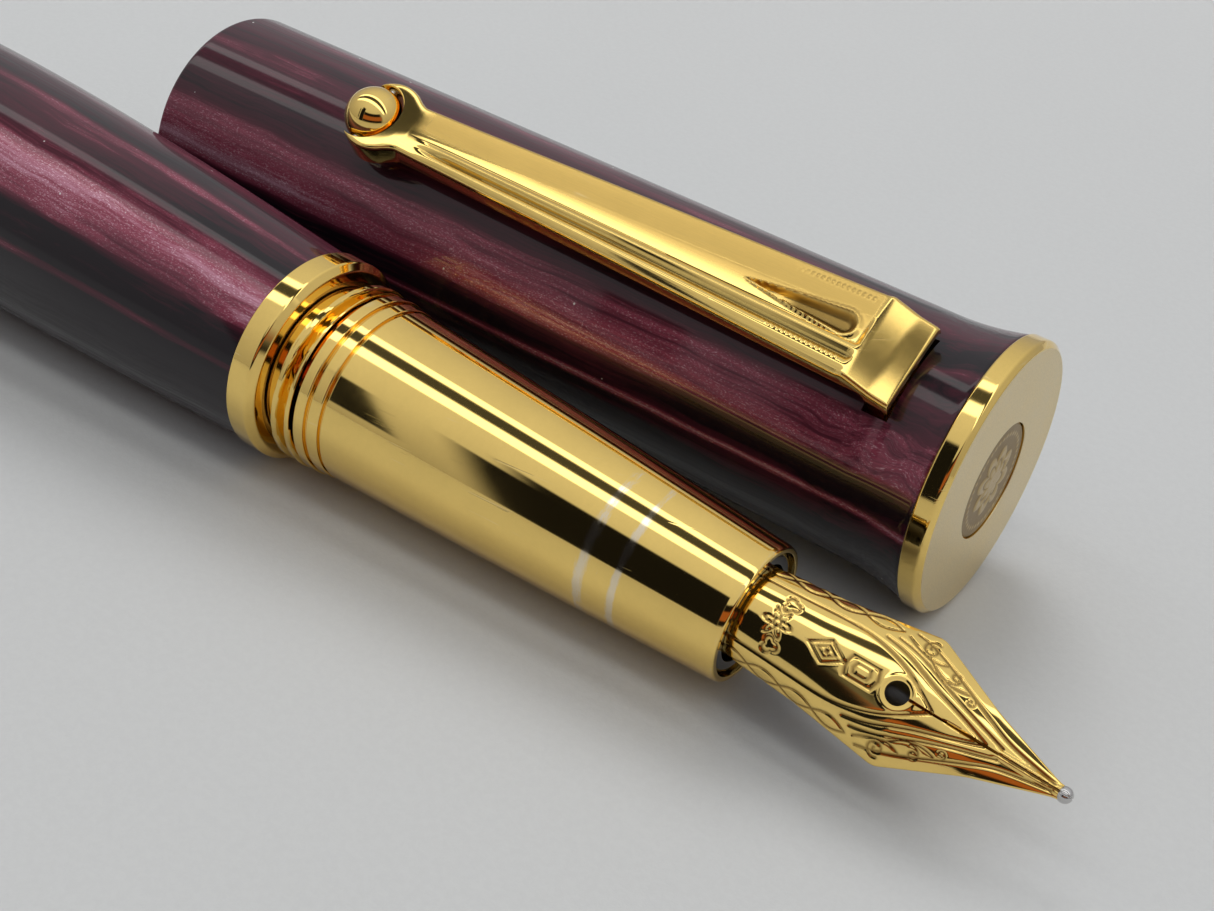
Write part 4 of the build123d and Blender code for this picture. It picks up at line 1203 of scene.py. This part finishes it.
def clip_relief(station, share):
    """Height of the clip's worked face over its plain one; shares run from the far edge (0) to 1.

    A shallow valley opens from the neck to the root beside a far plane, a teardrop hollow lies at
    its wide end, two ridges with a groove between run along the near side, and beaded lines follow
    both edges near the root. Everything stops at the plain end facet.
    """
    along = smooth(FACET_EDGE, -8.9, station)
    far = np.interp(station, [-45.0, -35.0, -8.0], [0.60, 0.46, 0.30])
    near = np.interp(station, [-45.0, -35.0, -8.0], [0.64, 0.645, 0.65])
    open_part = smooth(-43.6, -40.0, station)
    inside = np.clip((share - far) / np.maximum(near - far, 1e-6), 0, 1)
    depth = np.interp(station, [-44, -30, -10], [0.0, 0.10, 0.24])
    valley = depth * inside**0.7 * (1 - smooth(0.90, 1.0, inside))
    ridge = 0.16 * hump(share, 0.695, 0.045) + 0.14 * hump(share, 0.89, 0.06)
    groove = 0.20 * hump(share, NEAR_GROOVE, 0.032)
    height = along * (open_part * (ridge - groove) - valley)
    drop = teardrop(station, share)
    shown = smooth(-17.6, -15.8, station)
    rim = 0.13 * hump(drop, 1.12, 0.22) * shown
    core = 0.40 * smooth(1.0, 0.35, drop) * shown
    beads = 0.5 + 0.5 * np.cos(station * TAU / 0.36)
    milled = smooth(BEADED_BACK, -13.0, station) * smooth(-8.9, -9.3, station)
    strings = hump(share, FAR_STRING, 0.024) + hump(share, NEAR_STRING, 0.022)
    rim = rim + 0.05 * beads * hump(drop, 1.25, 0.22) * milled
    recess = 0.16 * along * smooth(-30.0, -9.0, station)
    return height + rim - core + 0.09 * beads * milled * strings - recess


class PEN_OT_clip(bpy.types.Operator):
    """Make the fluted clip with its fork, and the ball that rolls in it"""

    bl_idname = "pen.clip"
    bl_label = "Clip"

    def execute(self, context):
        sizes = context.scene.pen_sizes
        root_half, neck_half = sizes.clip_root_width / MM / 2, sizes.clip_neck_width / MM / 2
        ball = sizes.ball_radius / MM
        # evenly spaced lines across, drawn closer together near both edges
        even = np.linspace(-1, 1, 121)
        share = 1.22 * even - 0.22 * even**3

        # side view: upper and lower paths with matching knots, from the tang's foot to the neck
        upper = np.array([(-5.7, 6.1), (-5.7, 9.05), (-5.34, 9.3), (-5.3, 10.0), (-6.6, 10.42),
                          (-8.3, 11.42), (-40.1, 11.65), (BAR_END, 11.745)])
        lower = np.array([(-6.9, 6.1), (-6.9, 9.05), (-6.9, 9.4), (-6.95, 9.9), (-7.3, 10.12),
                          (-8.6, 10.15), (-40.1, 10.2), (BAR_END, 10.14)])
        knots = np.concatenate(([0], np.cumsum(np.linalg.norm(np.diff(upper, axis=0), axis=1))))
        corner, facet = knots[1], knots[5]
        at = np.concatenate([np.linspace(0, corner, 6)[:-1], np.linspace(corner, facet, 46)[:-1],
                             np.linspace(facet, facet + 9.5, 150)[:-1],
                             np.linspace(facet + 9.5, knots[-1], 120)])
        top_s, top_h = (eased(knots, upper[:, k], at, 0.22) for k in (0, 1))
        low_s, low_h = (eased(knots, lower[:, k], at, 0.22) for k in (0, 1))
        top_s[-1] = low_s[-1] = BAR_END
        half = eased(knots, [3.05, 3.05, root_half, root_half, root_half, root_half,
                             neck_half + 0.14, neck_half], at, 0.3)

        # head: a patch between the bar's end, the fork's outline and the arc of the ball's socket
        socket = ball + BALL_GAP
        # where the fork's outline and the socket's arc cross
        meet_s = ((FORK_R**2 - socket**2) - FORK_CENTRE**2 + BALL_STATION**2) / (
            2 * (BALL_STATION - FORK_CENTRE))
        meet_y = math.sqrt(FORK_R**2 - (meet_s - FORK_CENTRE) ** 2)
        k = np.linspace(0, 1, 44)[1:, None]
        start = math.atan2(neck_half, BAR_END - 0.55 - FORK_CENTRE)
        stop = math.atan2(meet_y, meet_s - FORK_CENTRE)
        swing = start + (stop - start) * k
        rim_s = FORK_CENTRE + FORK_R * np.cos(swing)
        rim_y = FORK_R * np.sin(swing)
        ease = smooth(0.0, 0.22, k)
        rim_s = (1 - ease) * (BAR_END - 3.2 * k) + ease * rim_s
        rim_y = (1 - ease) * neck_half + ease * rim_y
        arc = share * math.atan2(meet_y, meet_s - BALL_STATION)
        arc_s, arc_y = BALL_STATION + socket * np.cos(arc), socket * np.sin(arc)
        w = (1 + share) / 2
        line_s, line_y = np.full_like(share, BAR_END), neck_half * share
        head_s = (1 - k) * line_s + k * arc_s + rim_s - ((1 - k) * BAR_END + k * rim_s[-1])
        bulge = rim_y - ((1 - k) * neck_half + k * rim_y[-1])
        head_y = (1 - k) * line_y + k * arc_y + (2 * w - 1) * bulge

        grid_s = np.concatenate([np.repeat(top_s[:, None], len(share), 1), head_s])
        grid_h = np.concatenate([np.repeat(top_h[:, None], len(share), 1),
                                 11.745 + (BAR_END - head_s) * 0.025])
        grid_y = np.concatenate([half[:, None] * share, head_y])
        under_s = np.concatenate([np.repeat(low_s[:, None], len(share), 1), head_s])
        under_h = np.concatenate([np.repeat(low_h[:, None], len(share), 1),
                                  10.14 + (head_s - BAR_END) * 0.075])
        lobe_half = np.interp(k[:, 0], [0, 0.4, 1.0], [neck_half, 1.5, 0.9])
        across_half = np.concatenate([half, lobe_half])[:, None]
        # edges roll over in a quarter circle, and the socket's edge is eased too
        near_edge = np.clip(1 - (1 - np.abs(share)) * across_half / 0.30, 0, 1)
        on_top = np.concatenate([smooth(corner, corner + 0.8, at), np.ones(len(k))])[:, None]
        roll = 0.30 * (1 - np.sqrt(1 - near_edge**2 + 1e-12))
        bare_rows = np.concatenate([np.zeros(len(at)), k[:, 0]])[:, None]
        lipped = np.clip((bare_rows - 0.93) / 0.07, 0, 1) ** 2 * 0.12
        worked = np.concatenate([(at > knots[4])[:, None] * clip_relief(top_s[:, None], w[None, :]),
                                 clip_relief(head_s, np.broadcast_to(w, head_s.shape))])
        grid_h = grid_h - (roll + lipped) * on_top + worked * on_top
        # the middle of the bar is crowned a little
        grid_h = grid_h - 0.10 * on_top * np.abs(share[None, :]) ** 2.4
        outer, inner = CAP.flat(grid_s, grid_h, grid_y), CAP.flat(under_s, under_h, grid_y)
        every_s = np.broadcast_to(grid_s, grid_h.shape)
        every_w = np.broadcast_to(w, grid_h.shape)
        on_face = smooth(FACET_EDGE, -9.0, every_s)
        plane = smooth(0.62, 0.40, every_w) * on_face * smooth(-45.0, -43.0, every_s)
        plane = plane + 0.35 * smooth(-8.5, -8.2, every_s)
        # Painted dark reflection in the teardrop's core and painted shade in the near groove, both near black
        # through the 'engraved' attribute
        core = 1.15 * smooth(1.0, 0.62, teardrop(every_s, every_w))
        core = core * smooth(-14.6, -13.4, every_s) * (every_s < -8.0)
        groove = hump(every_w, NEAR_GROOVE, 0.022) * on_face
        hollow = core + 0.75 * groove * smooth(-43.6, -40.0, every_s)
        bar = solid_between("clip_bar", outer, inner, ["clip_gold"], sharp=42.0,
                            attributes={"satin": plane, "engraved": hollow})
        place(bar, "clip", "polished_gold", "clip")

        # the ball turns on its pin: a sphere with the pin's hole, countersunk at each end
        pin_line = Line(CAP.flat(np.array(BALL_STATION), np.array(BALL_HEIGHT), np.array(0.0)),
                        CAP.side, CAP.up)
        hole = 0.43
        first = math.asin((hole + 0.12) / ball)
        k = np.linspace(first, math.pi - first, 96)
        outline = np.stack([-ball * np.cos(k), ball * np.sin(k)], 1)
        flat_end = ball * math.cos(first) - 0.05
        bored = [(flat_end, hole + 0.08), (flat_end - 0.12, hole), (-flat_end + 0.12, hole),
                 (-flat_end, hole + 0.08)]
        pearl = turned("clip_pearl", pin_line, np.concatenate([outline, bored]), 160,
                       ["polished_gold"])
        place(pearl, "clip_ball", "polished_gold", "clip_ball")
        return {"FINISHED"}


# ================================================================ pieces kept from the frame
KEPT = {
    "feed": "ebonite", "barrel_bush": "turned_brass", "barrel_seal": "seal_rubber",
    "converter_tube": "clear_plastic", "converter_band": "turned_steel",
    "converter_nut": "turned_brass", "converter_knob": "black_plastic",
    "piston_rod": "turned_steel", "piston_seal": "seal_rubber", "cap_insert": "turned_brass",
    "inner_cap": "black_plastic", "clip_anchor": "turned_brass", "crown_screw": "turned_steel",
    "clip_ball_pin": "turned_steel",
}


class PEN_OT_inner_parts(bpy.types.Operator):
    """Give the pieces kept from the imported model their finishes"""

    bl_idname = "pen.inner_parts"
    bl_label = "Finish inner parts"

    def execute(self, context):
        for node, material in KEPT.items():
            for slot in frame["nodes"][node].material_slots:
                slot.material = finish(material)
        return {"FINISHED"}


# ================================================================ stage
LIGHT_BARS = ((0.09, 0.22), (-0.34, -0.15))   # overhead, as ranges of y over z
DARK_GAP = (-0.13, 0.07)
LOW_SHAPES = (                                # x from, x to, z from, z to, softness
    (-0.350, -0.10, 0.0, 0.60, 0.02), (-0.31, -0.10, 0.50, 0.70, 0.02),
    (-0.455, -0.408, 0.12, 0.58, 0.004),
)
BLACK, BROWN = (0.01, 0.01, 0.012, 1), (0.36, 0.12, 0.045, 1)


def surroundings(context, strength):
    """A soft studio: pale room, two long overhead lights with a dark gap, dark shapes low down.

    Every zone is a soft step of the direction's own parts. Rays from the camera see plain grey.
    """
    world = bpy.data.worlds.new("PenStudio")
    world.use_nodes = True
    context.scene.world = world
    tree = world.node_tree
    background = tree.nodes["Background"]
    direction = add(tree, "SeparateXYZ", None, [(0, add(tree, "TexCoord").outputs["Generated"])])
    x, y, z = (direction.outputs[k] for k in range(3))
    lean = maths(tree, "DIVIDE", y, maths(tree, "MAXIMUM", z, 0.05))

    def zone(value, low, high, soft):
        """1 between low and high, with soft ends."""
        return times(tree, rescale(tree, value, low - soft, low + soft),
                      rescale(tree, value, high + soft, high - soft))

    room = add(tree, "ValToRGB", None, [("Fac", z)])
    ramp = room.color_ramp.elements
    ramp[0].position, ramp[0].color = 0.0, (0.42, 0.42, 0.43, 1)
    ramp[1].position, ramp[1].color = 1.0, (0.85, 0.86, 0.88, 1)
    ramp.new(0.35).color = (0.55, 0.55, 0.56, 1)
    light = room.outputs["Color"]
    overhead = rescale(tree, z, 0.45, 0.6)
    for low, high in LIGHT_BARS:
        bar = times(tree, zone(lean, low, high, 0.02), overhead)
        light = blend_colour(tree, bar, light, (2.5, 2.5, 2.45, 1))
    gap = times(tree, zone(lean, *DARK_GAP, 0.02), overhead)
    light = blend_colour(tree, times(tree, gap, 0.93), light, (0.02, 0.02, 0.02, 1))
    facing = rescale(tree, y, -0.25, -0.45)
    brown = times(tree, zone(z, 0.16, 0.40, 0.03), facing)
    away_from_grip = rescale(tree, x, -0.14, -0.06)
    brown = times(tree, brown, away_from_grip)
    lined = times(tree, zone(z, 0.02, 0.56, 0.03), facing)
    lined = times(tree, lined, away_from_grip)
    light = blend_colour(tree, lined, light, (0.012, 0.010, 0.010, 1))
    light = blend_colour(tree, brown, light, BROWN)
    for left, right, low, high, soft in LOW_SHAPES:
        shape = times(tree, zone(x, left, right, soft), zone(z, low, high, 0.02))
        shape = times(tree, shape, facing)
        light = blend_colour(tree, shape, light, BLACK)
    seen = add(tree, "LightPath").outputs["Is Camera Ray"]
    light = blend_colour(tree, seen, light, (0.62, 0.63, 0.64, 1))
    tree.links.new(light, background.inputs["Color"])
    background.inputs["Strength"].default_value = strength


KEY_AT, KEY_SIZE = (-0.35, 0.45, 0.75), 0.45   # metres


def floor_material(colour_value):
    """Pale laminate: very fine speckle in colour, a soft grain in height."""
    tree, shader = new_material("pale_floor")
    vector = object_mm(tree)
    speck = noise(tree, vector, 1.7, 3.0, 0.8)
    slow = noise(tree, vector, 0.02, 2.0)
    tone = blend_colour(tree, rescale(tree, speck, 0.35, 0.65, 0.0, 0.10), tuple(colour_value),
                        (0.40, 0.40, 0.41, 1))
    tone = blend_colour(tree, rescale(tree, slow, 0.3, 0.7, 0.0, 0.05), tone, (0.70, 0.71, 0.72, 1))
    tree.links.new(tone, shader.inputs["Base Color"])
    shader.inputs["Roughness"].default_value = 0.55
    bump(tree, shader, speck, 0.00004, 0.5)


class PEN_OT_stage(bpy.types.Operator):
    """Set the floor, the light and the camera"""

    bl_idname = "pen.stage"
    bl_label = "Stage"

    def execute(self, context):
        stage, scene = context.scene.pen_stage, context.scene
        floor_material(context.scene.pen_colours.floor)
        half = stage.floor_size / 2
        mesh = bpy.data.meshes.new("floor")
        corners = [(-half, -half, 0), (half, -half, 0), (half, half, 0), (-half, half, 0)]
        mesh.from_pydata(corners, [], [(0, 1, 2, 3)])
        mesh.materials.append(finish("pale_floor"))
        floor = bpy.data.objects.new("floor", mesh)
        scene.collection.objects.link(floor)
        surroundings(context, stage.world_strength)

        lamp = bpy.data.lights.new("key", "AREA")
        lamp.shape, lamp.size = "DISK", KEY_SIZE
        lamp.energy = stage.key_power
        key = bpy.data.objects.new("key", lamp)
        scene.collection.objects.link(key)
        aim(key, np.array(KEY_AT), np.zeros(3), 0.0)
        key.visible_glossy = False

        tip = PEN.origin * MM
        target = np.array((tip[0] - stage.target_back, tip[1] + stage.target_aside, 0.0))
        away = np.array((math.sin(stage.azimuth) * math.cos(stage.elevation),
                         -math.cos(stage.azimuth) * math.cos(stage.elevation),
                         math.sin(stage.elevation)))
        sight = bpy.data.cameras.new("view")
        sight.lens, sight.sensor_width, sight.sensor_fit = stage.lens, 36.0, "HORIZONTAL"
        sight.clip_start, sight.clip_end = 0.002, 20.0
        camera = bpy.data.objects.new("view", sight)
        scene.collection.objects.link(camera)
        aim(camera, target + away * stage.distance, target, stage.roll)
        scene.camera = camera
        scene.view_settings.view_transform = "Standard"
        return {"FINISHED"}


def aim(thing, place_at, target, roll):
    """Stands a lamp or camera at a place, looking at the target, rolled about its line of sight."""
    back = unit(place_at - target)
    right = unit(np.cross(-back, (0, 0, 1)))
    up = np.cross(right, -back)
    tilted = right * math.cos(roll) + up * math.sin(roll)
    upright = -right * math.sin(roll) + up * math.cos(roll)
    world = np.eye(4)
    world[:3, 0], world[:3, 1], world[:3, 2], world[:3, 3] = tilted, upright, back, place_at
    thing.matrix_world = Matrix(world.tolist())


class PEN_PT_panel(bpy.types.Panel):
    """The pen's settings and makers"""

    bl_idname = "PEN_PT_panel"
    bl_label = "Fountain pen"
    bl_space_type = "VIEW_3D"
    bl_region_type = "UI"
    bl_category = "Pen"

    def draw(self, context):
        for kind in MAKERS:
            self.layout.operator(kind.bl_idname)
        for group in (context.scene.pen_sizes, context.scene.pen_colours, context.scene.pen_stage):
            box = self.layout.box()
            for key in group.__annotations__:
                box.prop(group, key)


MAKERS = (PEN_OT_finishes, PEN_OT_stage, PEN_OT_nib, PEN_OT_section, PEN_OT_barrel, PEN_OT_cap,
          PEN_OT_clip, PEN_OT_inner_parts)
GROUPS = {"pen_sizes": PenSizes, "pen_colours": PenColours, "pen_stage": PenStage}


def register():
    """Registers every class and hangs the settings on the scene."""
    for kind in (*GROUPS.values(), *MAKERS, PEN_PT_panel):
        bpy.utils.register_class(kind)
    for key, kind in GROUPS.items():
        setattr(bpy.types.Scene, key, PointerProperty(type=kind))


def unregister():
    """Takes the settings and classes away again."""
    for key in GROUPS:
        delattr(bpy.types.Scene, key)
    for kind in reversed((*GROUPS.values(), *MAKERS, PEN_PT_panel)):
        bpy.utils.unregister_class(kind)


def main():
    """Runs every maker in order."""
    register()
    for kind in MAKERS:
        family, action = kind.bl_idname.split(".")
        getattr(getattr(bpy.ops, family), action)()
    bpy.context.view_layer.update()


if __name__ == "__main__":
    main()
